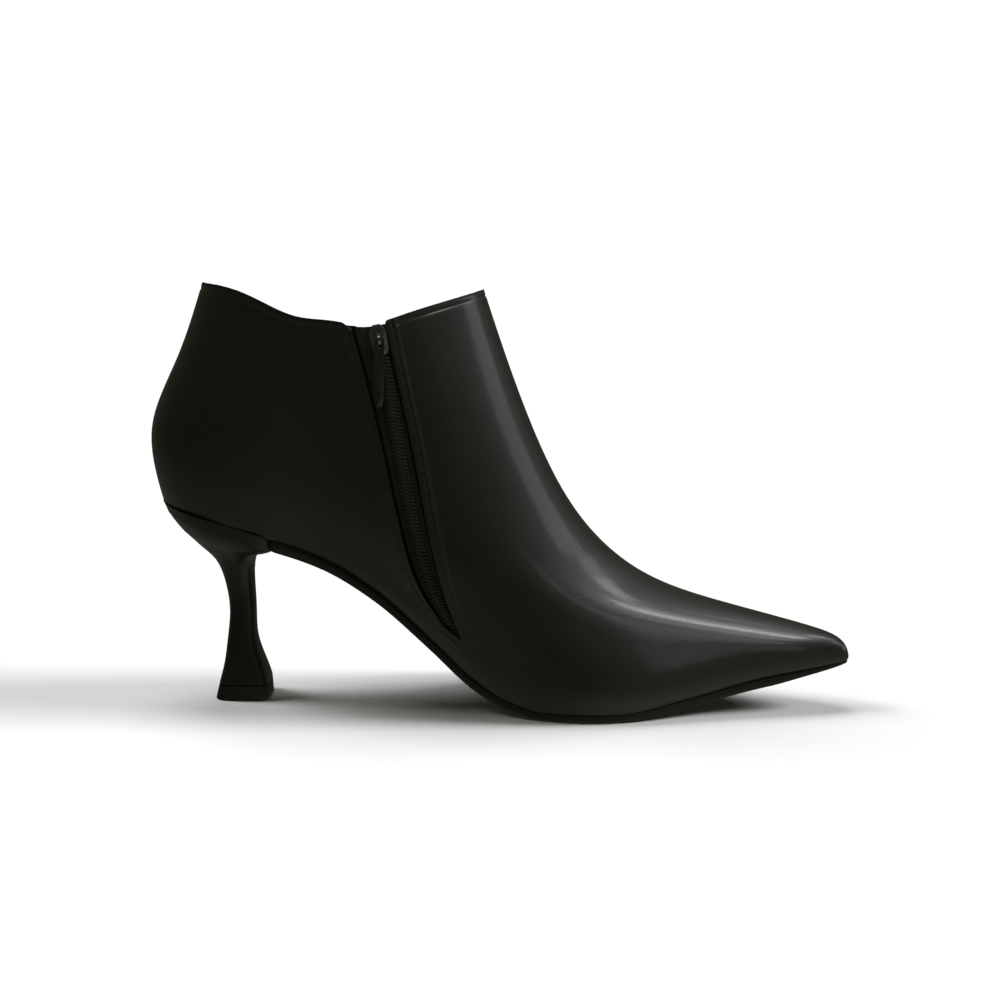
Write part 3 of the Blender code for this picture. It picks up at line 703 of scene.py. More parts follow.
class Amount:
    """The value of a socket; sums, differences and products of amounts add Math nodes."""

    def __init__(self, tree, socket):
        self.tree = tree
        self.socket = socket

    def math(self, operation, *values):
        """The result of a Math node on values."""
        node = self.tree.nodes.new("ShaderNodeMath")
        node.operation = operation
        for slot, value in zip(node.inputs, values):
            join(self.tree, value, slot)
        return Amount(self.tree, node.outputs[0])

    def __add__(self, other):
        return self.math("ADD", self, other)

    __radd__ = __add__

    def __mul__(self, other):
        return self.math("MULTIPLY", self, other)

    __rmul__ = __mul__

    def __sub__(self, other):
        return self.math("SUBTRACT", self, other)

    def __rsub__(self, other):
        return self.math("SUBTRACT", other, self)

    def limited(self, low, high):
        """The amount kept between two others."""
        return self.math("MAXIMUM", self.math("MINIMUM", self, high), low)

    def ramp(self, start, end):
        """0 up to start, 1 from end on, and even between."""
        return ((self - start) * (1 / (end - start))).limited(0.0, 1.0)

    def sine(self):
        """The sine of the amount, in radians."""
        return self.math("SINE", self)


def join(tree, value, slot):
    """Links an amount to a socket, or sets the socket to a plain value."""
    if isinstance(value, Amount):
        tree.links.new(value.socket, slot)
    else:
        slot.default_value = value


class Finish:
    """A material built round one shader; node() adds any node to it."""

    def __init__(self, name, **constants):
        self.material = bpy.data.materials.new(name)
        self.material.use_nodes = True
        self.tree = self.material.node_tree
        self.shader = self.tree.nodes["Principled BSDF"]
        for socket, value in constants.items():
            self.feed(socket.replace("_", " ").title().replace("Ior", "IOR"), value)

    def node(self, kind, settings=None, sockets=None, output=0):
        """Adds a node and gives one of its outputs."""
        made = self.tree.nodes.new(kind)
        for setting, value in (settings or {}).items():
            setattr(made, setting, value)
        for socket, value in (sockets or {}).items():
            join(self.tree, value, made.inputs[socket])
        return Amount(self.tree, made.outputs[output])

    def feed(self, socket, value):
        """Sets or links a socket of the shader."""
        join(self.tree, value, self.shader.inputs[socket])

    def place(self):
        """Where a point lies on the object."""
        return self.node("ShaderNodeTexCoord", output="Object")

    def noise(self, scale, detail=2.0):
        """Soft noise over the object."""
        sockets = {"Vector": self.place(), "Scale": scale, "Detail": detail}
        return self.node("ShaderNodeTexNoise", sockets=sockets)

    def cells(self, scale):
        """Distances to scattered points, for pores."""
        sockets = {"Vector": self.place(), "Scale": scale}
        return self.node("ShaderNodeTexVoronoi", sockets=sockets, output="Distance")

    def mixed(self, factor, first, second):
        """A colour between two, by a factor."""
        sockets = {"Factor": factor}
        for slot, colour in ((MIX_FIRST, first), (MIX_SECOND, second)):
            sockets[slot] = colour if isinstance(colour, Amount) else (*colour, 1.0)
        return self.node("ShaderNodeMix", {"data_type": "RGBA"}, sockets, MIX_RESULT)

    def bump(self, height, distance, strength, under=None):
        """A normal bent by heights, over the bumps that lie under it."""
        sockets = {"Height": height, "Distance": distance, "Strength": strength}
        if under:
            sockets["Normal"] = under
        return self.node("ShaderNodeBump", sockets=sockets)

    def paint(self, factor, colour, darker, lighter):
        """Lets the base colour run from a darker to a lighter shade of a colour, by a factor."""
        self.feed("Base Color", self.mixed(factor, *shades(colour, darker, lighter)))

    def emboss(self, height, distance, strength):
        """Gives the surface small bumps."""
        self.feed("Normal", self.bump(height, distance, strength))

    def split(self, place):
        """The three parts of a place."""
        parts = self.tree.nodes.new("ShaderNodeSeparateXYZ")
        join(self.tree, place, parts.inputs[0])
        return [Amount(self.tree, out) for out in parts.outputs]


class Room(Finish):
    """The world's nodes, added by the same method as a material's."""

    def __init__(self, tree):
        self.tree = tree


def shades(colour, darker, lighter):
    """A darker and a lighter shade of a colour."""
    return tuple(c * darker for c in colour), tuple(c * lighter for c in colour)


def leather_finish(name, colours, edge_band=0.0, gloss=0.45):
    """Smooth calf leather with pores, shallow wrinkles and a polish, dull in a band along its top edge."""
    finish = Finish(name, coat_roughness=0.14)
    patches = finish.noise(scale=60.0, detail=3.0)
    rubbed = finish.noise(scale=210.0, detail=4.0)
    tone = finish.mixed(patches, *shades(colours.leather, darker=0.75, lighter=1.25))
    roughness = patches * 0.07 + rubbed * 0.05 + colours.leather_roughness - 0.06
    polish = gloss - rubbed * 0.10
    if edge_band:
        _, from_top, _ = finish.split(finish.node("ShaderNodeTexCoord", output="UV"))
        band = 1.0 - from_top.ramp(edge_band * 0.9, edge_band)
        tone = finish.mixed(band, tone, tuple(c * 0.35 for c in colours.leather))
        roughness = roughness + band * 0.25
        polish = polish * (1.0 - band)
    finish.feed("Base Color", tone)
    finish.feed("Roughness", roughness)
    finish.feed("Coat Weight", polish)
    pores = finish.cells(scale=1700.0)
    wrinkles = finish.noise(scale=620.0, detail=3.0)
    fine = finish.bump(pores * 0.6 + wrinkles, distance=0.00006, strength=0.5)
    waves = finish.noise(scale=34.0, detail=1.0)
    soft = finish.bump(waves, distance=0.0006, strength=0.35, under=fine)
    finish.feed("Normal", soft)
    return finish.material


def lining_finish(name, colours):
    """Matt pigskin lining with pores in loose groups."""
    finish = Finish(name, roughness=0.72)
    pores = finish.cells(scale=900.0)
    patches = finish.noise(scale=80.0, detail=3.0)
    finish.paint(patches, colours.lining, darker=0.7, lighter=1.3)
    grain = pores + finish.noise(scale=400.0) * 0.5
    finish.emboss(grain, distance=0.0002, strength=0.6)
    return finish.material


def rubber_finish(name, colours):
    """Moulded sole rubber with a fine dull speckle and faint scuffs."""
    finish = Finish(name)
    speckle = finish.noise(scale=1500.0, detail=2.0)
    scuffs = finish.noise(scale=130.0, detail=5.0)
    finish.paint(scuffs, colours.rubber, darker=0.8, lighter=1.5)
    finish.feed("Roughness", 0.50 + scuffs * 0.22)
    finish.emboss(speckle, distance=0.00012, strength=0.5)
    return finish.material


def tape_finish(name, colours):
    """Woven tape: ribs of warp crossed by weft, laid on the tape's own map."""
    finish = Finish(name, roughness=0.85)
    across, along, _ = finish.split(finish.node("ShaderNodeTexCoord", output="UV"))
    warp = (across * (2 * math.pi / WARP_PITCH)).sine()
    weft = (along * (2 * math.pi / WEFT_PITCH)).sine()
    weave = warp * weft * 0.5 + 0.5
    finish.paint(weave, colours.tape, darker=0.55, lighter=1.6)
    finish.emboss(weave, distance=0.00022, strength=0.8)
    return finish.material


def teeth_finish(name, colours):
    """Nylon coil with a dull shine."""
    finish = Finish(name)
    rub = finish.noise(scale=700.0, detail=3.0)
    finish.paint(rub, colours.teeth, darker=0.7, lighter=1.5)
    finish.feed("Roughness", 0.50 + rub * 0.2)
    grain = finish.noise(scale=2600.0)
    finish.emboss(grain, distance=0.00005, strength=0.5)
    return finish.material


def thread_finish(name, colours):
    """Twisted thread."""
    finish = Finish(name, roughness=0.6)
    x, y, z = finish.split(finish.place())
    twist = ((x + y * 0.4 + z * 1.3) * (2 * math.pi / TWIST_PITCH)).sine() * 0.5 + 0.5
    finish.paint(twist, colours.thread, darker=0.6, lighter=1.4)
    finish.emboss(twist, distance=0.00012, strength=0.7)
    return finish.material


def metal_finish(name, colours, brightness):
    """Dark plating with faint brushing and a little wear."""
    finish = Finish(name, metallic=1.0)
    worn = finish.noise(scale=300.0, detail=4.0).ramp(0.45, 0.75)
    base = tuple(c * brightness for c in colours.metal)
    finish.paint(worn, base, darker=0.9, lighter=1.6)
    finish.feed("Roughness", 0.22 - worn * 0.06 + finish.noise(scale=1900.0) * 0.06)
    brushing = finish.noise(scale=1400.0, detail=3.0)
    finish.emboss(brushing, distance=0.00002, strength=0.5)
    return finish.material


class UpperSkin:
    """The upper's outer surface: a grid of points, and where its slit and seam run."""

    def __init__(self, trim):
        tucked = np.linspace(0.0, ZIP_FOOT_LEVEL, TUCK_ROWS, endpoint=False)
        levels = np.concatenate([tucked, np.linspace(ZIP_FOOT_LEVEL, 1.0, UPPER_ROWS)])
        turns = np.linspace(0.0, 2 * math.pi, ROW_SAMPLES)
        self.back_column = 1 + len(SEAM_STEPS) + BACK_COLUMNS + len(SLIT_STEPS)
        self.front_column = self.back_column + 2
        rows = np.array([self.row(level, turns) for level in levels])
        places, self.from_top = self.spaced(rows)
        self.points = last_points(places[..., 0], places[..., 1])
        self.normals = self.outward()
        self.slit_distance = self.distances(self.slit_edge())
        self.points = self.points + self.normals * self.relief(trim)[..., None]
        self.points[:, -1] = self.points[:, 0]

    def row(self, level, turns):
        """Turns and levels of one row, from the back seam past the slit and the ridge to the seam again."""
        line = last_points(turns, level)
        places = along_line(line)
        marks = [zip_turn(level, -1), zip_turn(level, 1), math.pi]
        back, front, ridge = np.interp(marks, turns, places)
        columns = np.concatenate(
            [
                stretch(0.0, back, SEAM_STEPS, SLIT_STEPS, BACK_COLUMNS),
                [back, (back + front) / 2],
                stretch(front, ridge, SLIT_STEPS, RIDGE_STEPS, FRONT_COLUMNS),
                stretch(ridge, places[-1], RIDGE_STEPS, SEAM_STEPS, OUTER_COLUMNS),
                [places[-1]],
            ]
        )
        drop = corner_drop(back - columns, COLLAR_CORNER_BACK)
        drop += corner_drop(columns - front, COLLAR_CORNER_FRONT)
        low = last_points(np.interp(back, places, turns), 1.0 - COLLAR_CORNER_LEVELS)
        high = last_points(np.interp(back, places, turns), 1.0)
        slope = (high[2] - low[2]) / COLLAR_CORNER_LEVELS
        lowered = drop / slope * smooth_step(level, 1.0 - COLLAR_CORNER_LEVELS, 1.0)
        return np.stack([np.interp(columns, places, turns), level - lowered], axis=-1)

    def spaced(self, rows):
        """The rows above the slit's foot moved to set distances from the top edge, and those distances."""
        points = last_points(rows[..., 0], rows[..., 1])
        moved = rows.copy()
        from_top = np.empty(rows.shape[:2])
        even_rows = UPPER_ROWS - len(TOP_STEPS) - 1
        for c in range(rows.shape[1]):
            places = along_line(points[:, c])
            foot, top = places[TUCK_ROWS], places[-1]
            even = np.linspace(foot, top - TOP_STEPS[-1], even_rows, endpoint=False)
            wanted = np.concatenate([places[:TUCK_ROWS], even, top - TOP_STEPS[::-1], [top]])
            moved[:, c] = read_off(wanted, places, rows[:, c])
            from_top[:, c] = top - wanted
        return moved, from_top

    def outward(self):
        """Directions out of the surface at each point."""
        normals = unit(np.cross(np.gradient(self.points, axis=1), np.gradient(self.points, axis=0)))
        seam = unit(normals[:, 0] + normals[:, -1])
        normals[:, 0] = seam
        normals[:, -1] = seam
        return normals

    def slit_edge(self):
        """Points down the slit's back edge, round its foot and up its front edge."""
        back = self.points[TUCK_ROWS:, self.back_column]
        foot = self.points[TUCK_ROWS, self.back_column : self.front_column + 1]
        front = self.points[TUCK_ROWS:, self.front_column]
        edge = np.concatenate([back[::-1], foot[1:-1], front])
        places = along_line(edge)
        finer = np.linspace(0.0, places[-1], SLIT_EDGE_FINENESS * len(edge))
        return read_off(finer, places, edge)

    def distances(self, line):
        """How far each point is from a line."""
        tree = KDTree(len(line))
        for i, point in enumerate(line):
            tree.insert(point, i)
        tree.balance()
        flat = self.points.reshape(-1, 3)
        return np.array([tree.find(point)[2] for point in flat]).reshape(self.points.shape[:2])

    def relief(self, trim):
        """Heights over the last: the folded edge by the zip, its groove, the top crease and the back seam."""
        d = self.slit_distance
        rise = trim.fold_rise * (1 - smooth_step(d, FOLD_START, FOLD_END))
        rise -= GROOVE_DEPTH * np.exp(-(((d - trim.stitch_offset) / GROOVE_WIDTH) ** 2))
        crease = TOP_CREASE_DEPTH * np.exp(-(((self.from_top - TOP_CREASE) / TOP_CREASE_WIDTH) ** 2))
        rise -= crease * smooth_step(d, trim.stitch_offset, FOLD_END)
        columns = [along_line(row) for row in self.points]
        from_seam = np.array([np.minimum(c, c[-1] - c) for c in columns])
        return rise - SEAM_DEPTH * np.exp(-((from_seam / SEAM_WIDTH) ** 2))

    def slit_cells(self):
        """Numbers of the grid's cells that the slit leaves open."""
        columns = self.points.shape[1] - 1
        rows = range(TUCK_ROWS, self.points.shape[0] - 1)
        return [r * columns + c for r in rows for c in (self.back_column, self.back_column + 1)]

    def stitch_line(self, offset, side):
        """Points and normals of the line at an offset from the slit's back (-1) or front (+1) edge."""
        start = self.back_column if side < 0 else self.front_column
        columns = start + side * np.arange(len(SLIT_STEPS) + 1)
        points = []
        normals = []
        for r in range(TUCK_ROWS, self.points.shape[0]):
            d = self.slit_distance[r, columns]
            points.append(read_off(offset, d, self.points[r, columns]))
            normals.append(read_off(offset, d, self.normals[r, columns]))
        return np.array(points), np.array(normals)


def stretch(start, end, start_steps, end_steps, count):
    """Places from start up to, but without, end: fixed steps at both ends and even ones between."""
    middle = np.linspace(start + start_steps[-1], end - end_steps[-1], count + 2)[1:-1]
    return np.concatenate([[start], start + start_steps, middle, end - end_steps[::-1]])


def corner_drop(distance, radius):
    """How far a rounded corner falls below its edges, at distances from its side."""
    inside = np.clip(1 - distance / radius, 0.0, 1.0) * (distance >= -MERGE_DISTANCE)
    return radius * inside**2


class BOOT_OT_upper(bpy.types.Operator):
    """Makes the leather upper with its lining, open along the zip"""

    bl_idname = "boot.upper"
    bl_label = "Upper"

    def execute(self, context):
        trim = context.scene.boot_trim
        colours = context.scene.boot_colours
        skin = UpperSkin(trim)
        made = add_sheet("boot_upper", skin.points)
        set_uv(made, skin.slit_distance, skin.from_top)
        remove_cells(made, skin.slit_cells())
        merge(made)
        # Two empty slots, so that the wall's inner face takes the second one
        made.data.materials.append(None)
        made.data.materials.append(None)
        apply(made, "SOLIDIFY", thickness=WALL, offset=-1.0, material_offset=1)
        round_edges(made, trim.edge_round, segments=3, angle=RIM_ANGLE)
        shade(made, angle=60)
        leather = leather_finish("upper_leather", colours, TOP_EDGE_BAND)
        finishes = [leather, lining_finish("upper_lining", colours)]
        fit(made, finishes, "boot", "upper_leather", "upper")
        self.add_stitches(skin, trim, colours)
        return {"FINISHED"}

    def add_stitches(self, skin, trim, colours):
        """Sews a row of stitches along both sides of the slit."""
        thread = thread_finish("stitch_thread", colours)
        for side, name in ((-1, "boot_stitches_back"), (1, "boot_stitches_front")):
            points, normals = skin.stitch_line(trim.stitch_offset, side)
            bpy.ops.mesh.primitive_uv_sphere_add(segments=8, ring_count=5, radius=0.5)
            base = bpy.context.object
            size = (trim.stitch_length, trim.thread_width, trim.thread_width)
            with edit_mode(base, "VERT"):
                bpy.ops.mesh.select_all(action="SELECT")
                bpy.ops.transform.resize(value=size)
            pitch = trim.stitch_pitch
            made = copies_along(base, name, frames_along(points, normals, pitch, pitch / 2, pitch))
            shade(made, angle=80)
            fit(made, [thread], "boot", "upper_leather")


class BOOT_OT_outsole(bpy.types.Operator):
    """Makes the thin sole with its rounded edge and the channel under it"""

    bl_idname = "boot.outsole"
    bl_label = "Outsole"

    def execute(self, context):
        foot_back_x, _, foot_tip_x, _ = side_ends(0.0)
        breast = (from_heel(BREAST_ALONG) - foot_back_x) / (foot_tip_x - foot_back_x)
        steps = np.sin(math.pi / 2 * np.linspace(0.0, 1.0, SOLE_ROWS))
        rings = []
        start = breast - SOLE_TAIL
        for share in start + (SOLE_TIP_SHARE - start) * steps:
            inner = last_points(turn_of(share), 0.0)
            outer = last_points(2 * math.pi - turn_of(share), 0.0)
            margin = SOLE_OVERHANG - SOLE_TAIL_INSET * max(0.0, breast - share) / SOLE_TAIL
            left, right = inner[1] - margin, outer[1] + margin
            middle = (left + right) / 2
            top = inner[2] + SEAT_OVERLAP
            bottom = max(inner[2] - sole_thickness(inner[0]), 0.0)
            reach = min(1.0, (right - left) / 2 / (2 * SOLE_PROFILE[0].inset))
            half = [(inset * reach, bottom + (top - bottom) * height) for inset, height in SOLE_PROFILE]
            section = [(left + inset, z) for inset, z in half] + [(middle, bottom)]
            section += [(right - inset, z) for inset, z in reversed(half)] + [(middle, top)]
            section.append(section[0])
            rings.append([(inner[0], y, z) for y, z in section])
        made = add_sheet("boot_outsole", np.array(rings))
        close(made)
        shade(made, angle=35)
        rubber = rubber_finish("sole_rubber", context.scene.boot_colours)
        fit(made, [rubber], "boot", "sole_rubber", "outsole")
        return {"FINISHED"}


def heel_rings(sections, columns):
    """Rounded oblongs of points, one for each heel section, tilted with its back and front ends."""
    turn = np.linspace(0.0, 2 * math.pi, columns + 1)
    across, along = np.sin(turn), np.cos(turn)
    rings = []
    for section in sections:
        power = 2 / np.where(along > 0, section.back_square, section.front_square)
        middle = (section.back_x + section.front_x) / 2
        half_length = (section.front_x - section.back_x) / 2
        x = middle - half_length * np.sign(along) * np.abs(along) ** power
        y = sideways(x) - section.half_width * np.sign(across) * np.abs(across) ** power
        rise = (x - section.back_x) / (section.front_x - section.back_x)
        line = section.back_z + (section.front_z - section.back_z) * rise
        seat = feather_height(x) + SEAT_OVERLAP
        z = line + section.seat_share * (seat - line)
        rings.append(np.stack([x, y, z], axis=-1))
    rings = np.array(rings)
    rings[:, -1] = rings[:, 0]
    return rings


class BOOT_OT_heel(bpy.types.Operator):
    """Makes the leather covered heel and the lift under it"""

    bl_idname = "boot.heel"
    bl_label = "Heel and lift"

    def execute(self, context):
        colours = context.scene.boot_colours
        table = natural_spline(range(len(HEEL_SECTIONS)), HEEL_SECTIONS)
        sections = []
        for place in np.linspace(1.0, len(HEEL_SECTIONS) - 1.0, HEEL_RINGS):
            values = table(place)
            share = float(np.clip(values[-1], 0.0, 1.0))
            sections.append(HeelSection(*values)._replace(seat_share=share))
        heel = add_sheet("boot_heel", heel_rings(sections, HEEL_COLUMNS))
        close(heel)
        shade(heel, angle=50)
        leather = leather_finish("heel_leather", colours, gloss=HEEL_GLOSS)
        fit(heel, [leather], "boot", "heel_cover", "heel")
        foot = HEEL_SECTIONS[0]
        top = HEEL_SECTIONS[1]._replace(back_z=TOP_LIFT_HEIGHT, front_z=TOP_LIFT_HEIGHT)
        lift = add_sheet("boot_top_lift", heel_rings([foot, top], HEEL_COLUMNS))
        close(lift)
        round_edges(lift, LIFT_ROUND, segments=3, angle=PLATE_ANGLE)
        shade(lift, angle=40)
        fit(lift, [rubber_finish("lift_rubber", colours)], "boot", "lift_rubber", "top_lift")
        return {"FINISHED"}


class BOOT_OT_insole(bpy.types.Operator):
    """Makes the sock inside the boot"""

    bl_idname = "boot.insole"
    bl_label = "Insole"

    def execute(self, context):
        inset = WALL + 2 * PIECE_GAP
        turn = np.linspace(0.0, math.pi, INSOLE_ROWS + 2)[1:-1]
        inner = last_points(turn, 0.0) - inset * last_normals(turn, 0.0)
        far = 2 * math.pi - turn
        outer = last_points(far, 0.0) - inset * last_normals(far, 0.0)
        across = np.linspace(0.0, 1.0, INSOLE_COLUMNS)[None, :, None]
        points = inner[:, None] * (1 - across) + outer[:, None] * across
        points[..., 2] = feather_height(points[..., 0]) + PIECE_GAP + INSOLE_THICKNESS
        made = add_sheet("boot_insole", points[::-1].transpose(1, 0, 2)[:, ::-1])
        apply(made, "SOLIDIFY", thickness=INSOLE_THICKNESS, offset=-1.0)
        round_edges(made, SOCK_ROUND, segments=2, angle=PLATE_ANGLE)
        shade(made, angle=50)
        sock = lining_finish("sock_leather", context.scene.boot_colours)
        fit(made, [sock], "boot", "sock_leather", "insole")
        return {"FINISHED"}


class BOOT_OT_zip(bpy.types.Operator):
    """Makes the woven tape, the teeth, the slider and its pull"""

    bl_idname = "boot.zip"
    bl_label = "Zip"

    def execute(self, context):
        trim = context.scene.boot_trim
        colours = context.scene.boot_colours
        self.add_tape(colours)
        self.add_teeth(trim, colours)
        plating = metal_finish("slider_plating", colours, SLIDER_BRIGHTNESS)
        self.add_metal("zip_slider", "boot", "slider_metal", plating)
        plating = metal_finish("pull_plating", colours, PULL_BRIGHTNESS)
        self.add_metal("zip_pull", "pull_tab", "pull_metal", plating)
        return {"FINISHED"}

    def add_metal(self, node, body, slot, metal):
        """A piece of the zip's hardware with its edges rounded off."""
        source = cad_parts[node]
        made = bpy.data.objects.new(f"boot_{node}", source.data.copy())
        made.data.transform(source.matrix_world)
        bpy.context.scene.collection.objects.link(made)
        merge(made)
        with edit_mode(made, "FACE"):
            bpy.ops.mesh.select_all(action="SELECT")
            bpy.ops.mesh.dissolve_limited(angle_limit=math.radians(FLAT_ANGLE))
        round_edges(made, METAL_ROUND, segments=2, angle=METAL_ANGLE)
        shade(made, angle=40)
        fit(made, [metal], body, slot, node)

    def add_tape(self, colours):
        """The tape behind the slit: it reaches under the leather on both sides and swells between them."""
        levels = np.linspace(ZIP_FOOT_LEVEL - ZIP_TAPE_FOOT, 1.0 - ZIP_TAPE_TOP, UPPER_ROWS)
        back, front = zip_turn(levels, -1), zip_turn(levels, 1)
        overlap = (front - back) * ZIP_TAPE_OVERLAP / slit_width(levels)
        across = np.linspace(0.0, 1.0, TAPE_COLUMNS + 1)[None, :]
        turns = (back - overlap)[:, None] * (1 - across) + (front + overlap)[:, None] * across
        spread = np.broadcast_to(levels[:, None], turns.shape)
        width = (slit_width(levels) + 2 * ZIP_TAPE_OVERLAP)[:, None]
        inside = np.minimum(across, 1 - across) * width - ZIP_TAPE_OVERLAP
        depth = WALL + 2 * PIECE_GAP - TAPE_RISE * smooth_step(inside, 0.0, TAPE_SLOPE)
        points = last_points(turns, spread) - depth[..., None] * last_normals(turns, spread)
        made = add_sheet("boot_zip_tape", points)
        middle = points[:, TAPE_COLUMNS // 2]
        side = np.linalg.norm(points - middle[:, None], axis=-1) * np.sign(across - 0.5)
        set_uv(made, side, np.broadcast_to(along_line(middle)[:, None], side.shape))
        apply(made, "SOLIDIFY", thickness=TAPE_THICKNESS, offset=-1.0)
        shade(made, angle=50)
        fit(made, [tape_finish("tape_fabric", colours)], "boot", "tape_fabric", "zip_tape")

    def add_teeth(self, trim, colours):
        """Two rows of coil teeth, half a pitch apart, that meet on the tape's middle, up to the slider."""
        top = zip_level(SLIDER_HEIGHT - SLIDER_LENGTH / 2 - CHAIN_TOP_GAP)
        levels = np.linspace(CHAIN_FOOT_LEVEL, top, UPPER_ROWS)
        turns = zip_turn(levels, 0)
        normals = last_normals(turns, levels)
        points = last_points(turns, levels) - TOOTH_DEPTH * normals
        halves = np.minimum(CHAIN_HALF_WIDTH, slit_width(levels) / 2 - CHAIN_SIDE_GAP)
        places = along_line(points)
        bpy.ops.mesh.primitive_cube_add(size=1.0)
        base = bpy.context.object
        with edit_mode(base, "EDGE"):
            bpy.ops.mesh.select_all(action="SELECT")
            bpy.ops.mesh.bevel(offset=TOOTH_BEVEL_SHARE, segments=2, affect="EDGES")
        matrices = []
        for side in (-1, 1):
            start = trim.tooth_pitch * (0.5 if side < 0 else 1.0)
            for i, place in enumerate(frames_along(points, normals, trim.tooth_pitch, start)):
                half = np.interp(start + i * trim.tooth_pitch, places, halves)
                long, wide = trim.tooth_pitch * TOOTH_LENGTH_SHARE, half * TOOTH_REACH_SHARE
                size = Matrix.Diagonal((long, wide, TOOTH_THICKNESS, 1.0))
                shift = Matrix.Translation((0.0, side * half * TOOTH_SHIFT_SHARE, 0.0))
                slant = Matrix.Rotation(side * TOOTH_SLANT, 4, "Z")
                matrices.append(place @ shift @ slant @ size)
        made = copies_along(base, "boot_zip_teeth", matrices)
        shade(made, angle=60)
        fit(made, [teeth_finish("teeth_nylon", colours)], "boot", "teeth_nylon", "zip_chain")


def direction_of(azimuth, elevation):
    """The direction at an azimuth from +X towards +Y and an elevation, in degrees."""
    a, e = math.radians(azimuth), math.radians(elevation)
    return Vector((math.cos(e) * math.cos(a), math.cos(e) * math.sin(a), math.sin(e)))


def face(place, target):
    """A frame at a place whose -Z looks at a target."""
    turn = (Vector(place) - Vector(target)).to_track_quat("Z", "Y")
    return Matrix.Translation(place) @ turn.to_matrix().to_4x4()


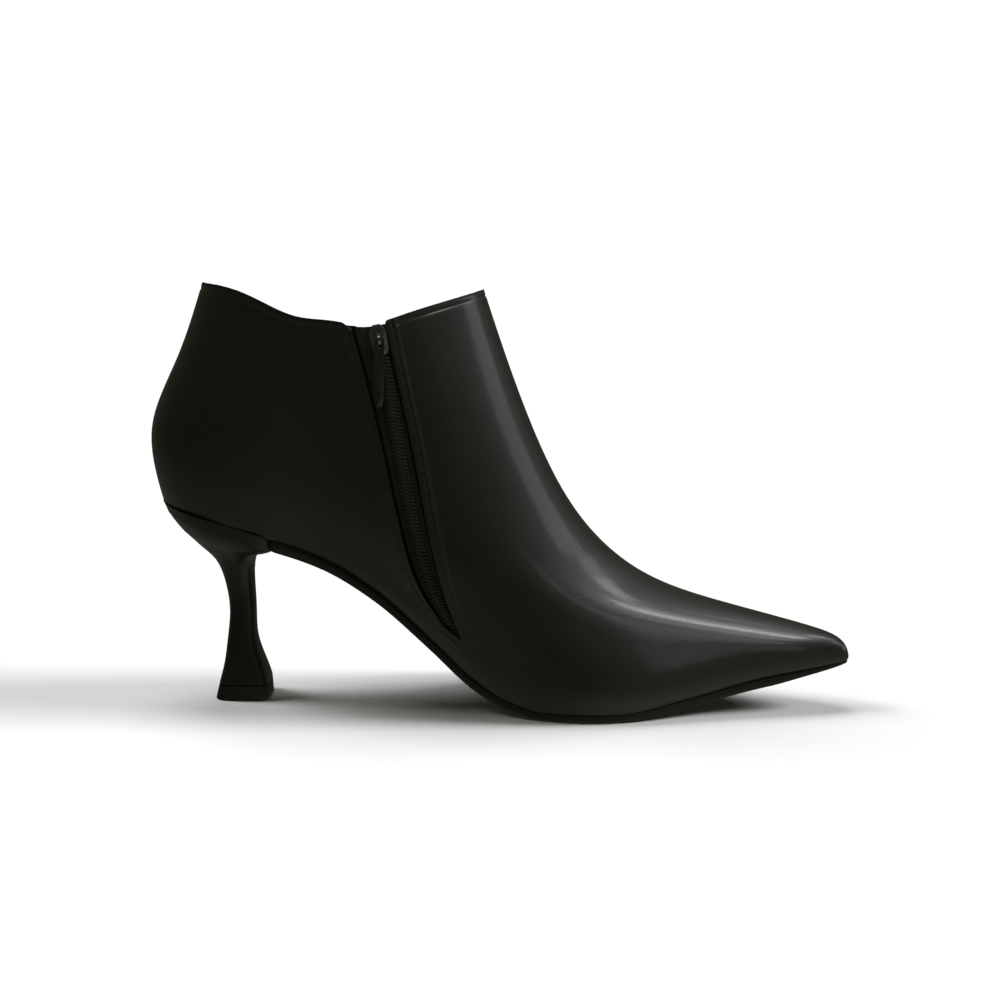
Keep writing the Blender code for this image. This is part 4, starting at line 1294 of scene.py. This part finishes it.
class BOOT_OT_stage(bpy.types.Operator):
    """Sets up the floor, the lights and the camera"""

    bl_idname = "boot.stage"
    bl_label = "Studio"

    def execute(self, context):
        scene = context.scene
        studio = scene.boot_studio
        scene.view_settings.view_transform = "Standard"
        floor = self.add_floor()
        self.add_room(scene, studio)
        all_but_floor = self.reach("all_but_floor", floor, "EXCLUDE")
        for panel in PANELS:
            self.add_panel(panel, all_but_floor, studio)
        only_floor = self.reach("only_floor", floor, "INCLUDE")
        for sun in SUNS:
            self.add_sun(sun, only_floor)
        self.add_camera(scene, studio)
        return {"FINISHED"}

    def add_floor(self):
        """A wide pale floor."""
        bpy.ops.mesh.primitive_plane_add(size=FLOOR_SIZE)
        floor = bpy.context.object
        floor.name = "floor"
        floor.visible_glossy = False
        floor.visible_diffuse = False
        finish = Finish("floor_paint", roughness=0.9, specular_ior_level=0.0)
        finish.feed("Base Color", finish.mixed(finish.noise(scale=3.0), *FLOOR_TONES))
        floor.data.materials.append(finish.material)
        return floor

    def reach(self, name, floor, state):
        """What a light reaches: the floor alone, or all but the floor."""
        made = bpy.data.collections.new(name)
        made.objects.link(floor)
        made.collection_objects[0].light_linking.link_state = state
        return made

    def add_room(self, scene, studio):
        """A white surround for the camera, which lights the boot dimly and more from the floor."""
        world = bpy.data.worlds.new("studio_room")
        world.use_nodes = True
        tree = world.node_tree
        tree.nodes.clear()
        room = Room(tree)
        direction = room.node("ShaderNodeTexCoord", output="Generated")
        height = room.node("ShaderNodeSeparateXYZ", sockets={0: direction}, output="Z")
        sockets = {0: direction, 1: BOUNCE_AXIS}
        facing = room.node("ShaderNodeVectorMath", {"operation": "DOT_PRODUCT"}, sockets, "Value")
        brightness = studio.room_brightness + (height * -1.0).ramp(*FLOOR_GLOW) * studio.floor_brightness
        brightness = brightness + facing.ramp(*BOUNCE_GLOW) * studio.bounce_brightness
        tone = (*studio.room_tone, 1.0)
        dim = room.node("ShaderNodeBackground", sockets={"Color": tone, "Strength": brightness})
        backdrop = {"Color": (1.0, 1.0, 1.0, 1.0), "Strength": BACKDROP_STRENGTH}
        white = room.node("ShaderNodeBackground", sockets=backdrop)
        seen = room.node("ShaderNodeLightPath", output="Is Camera Ray")
        mixed = room.node("ShaderNodeMixShader", sockets={0: seen, 1: dim, 2: white})
        out = tree.nodes.new("ShaderNodeOutputWorld")
        tree.links.new(mixed.socket, out.inputs["Surface"])
        scene.world = world

    def hang(self, light, place, target, reach):
        """Hangs a light at a place, turned to a target, for what it reaches."""
        made = bpy.data.objects.new(light.name, light)
        made.matrix_world = face(place, target)
        made.light_linking.receiver_collection = reach
        bpy.context.scene.collection.objects.link(made)
        return made

    def add_panel(self, panel, reach, studio):
        """A soft box of an even brightness, turned to its target and hidden from the camera."""
        light = bpy.data.lights.new(panel.name, "AREA")
        light.shape = "RECTANGLE"
        light.size = 2 * panel.distance * math.tan(math.radians(panel.width / 2))
        light.size_y = 2 * panel.distance * math.tan(math.radians(panel.height / 2))
        light.spread = math.radians(panel.spread)
        light.color = studio.panel_tone
        light.energy = studio.panel_brightness * panel.brightness * math.pi * light.size * light.size_y
        place = Vector(panel.target) + panel.distance * direction_of(panel.azimuth, panel.elevation)
        self.hang(light, place, panel.target, reach).visible_camera = False

    def add_sun(self, sun, reach):
        """A soft light from far away."""
        light = bpy.data.lights.new(sun.name, "SUN")
        light.angle = math.radians(sun.softness)
        light.energy = sun.strength
        self.hang(light, direction_of(sun.azimuth, sun.elevation), (0.0, 0.0, 0.0), reach)

    def add_camera(self, scene, studio):
        """The camera, a little above the collar, looking across the boot."""
        data = bpy.data.cameras.new("camera")
        data.lens = studio.lens
        data.sensor_width = SENSOR_WIDTH
        data.clip_start = CLIP_START
        camera = bpy.data.objects.new("camera", data)
        level = Matrix.Rotation(math.pi / 2 - studio.camera_dip, 4, "X")
        roll = Matrix.Rotation(studio.camera_roll, 4, "Z")
        camera.matrix_world = Matrix.Translation(studio.camera_place) @ level @ roll
        scene.collection.objects.link(camera)
        scene.camera = camera


class BOOT_PT_panel(bpy.types.Panel):
    """Lists the boot's pieces and sizes"""

    bl_idname = "BOOT_PT_panel"
    bl_label = "Ankle boot"
    bl_space_type = "VIEW_3D"
    bl_region_type = "UI"
    bl_category = "Ankle boot"

    def draw(self, context):
        layout = self.layout
        for operator in OPERATORS:
            layout.operator(operator.bl_idname)
        for group in (context.scene.boot_trim, context.scene.boot_colours, context.scene.boot_studio):
            for name in group.bl_rna.properties.keys():
                if name not in ("rna_type", "name"):
                    layout.prop(group, name)


OPERATORS = [BOOT_OT_upper, BOOT_OT_outsole, BOOT_OT_heel, BOOT_OT_insole, BOOT_OT_zip, BOOT_OT_stage]
GROUPS = {"boot_trim": BootTrim, "boot_colours": BootColours, "boot_studio": BootStudio}
CLASSES = [*GROUPS.values(), *OPERATORS, BOOT_PT_panel]


def register():
    """Adds the classes and the boot's properties to the program."""
    for one in CLASSES:
        bpy.utils.register_class(one)
    for name, group in GROUPS.items():
        setattr(bpy.types.Scene, name, bpy.props.PointerProperty(type=group))


def unregister():
    """Takes the properties and the classes away again."""
    for name in GROUPS:
        delattr(bpy.types.Scene, name)
    for one in reversed(CLASSES):
        bpy.utils.unregister_class(one)


def main():
    """Makes the boot and its studio."""
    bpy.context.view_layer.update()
    register()
    bpy.ops.boot.upper()
    bpy.ops.boot.outsole()
    bpy.ops.boot.heel()
    bpy.ops.boot.insole()
    bpy.ops.boot.zip()
    bpy.ops.boot.stage()


if __name__ == "__main__":
    main()
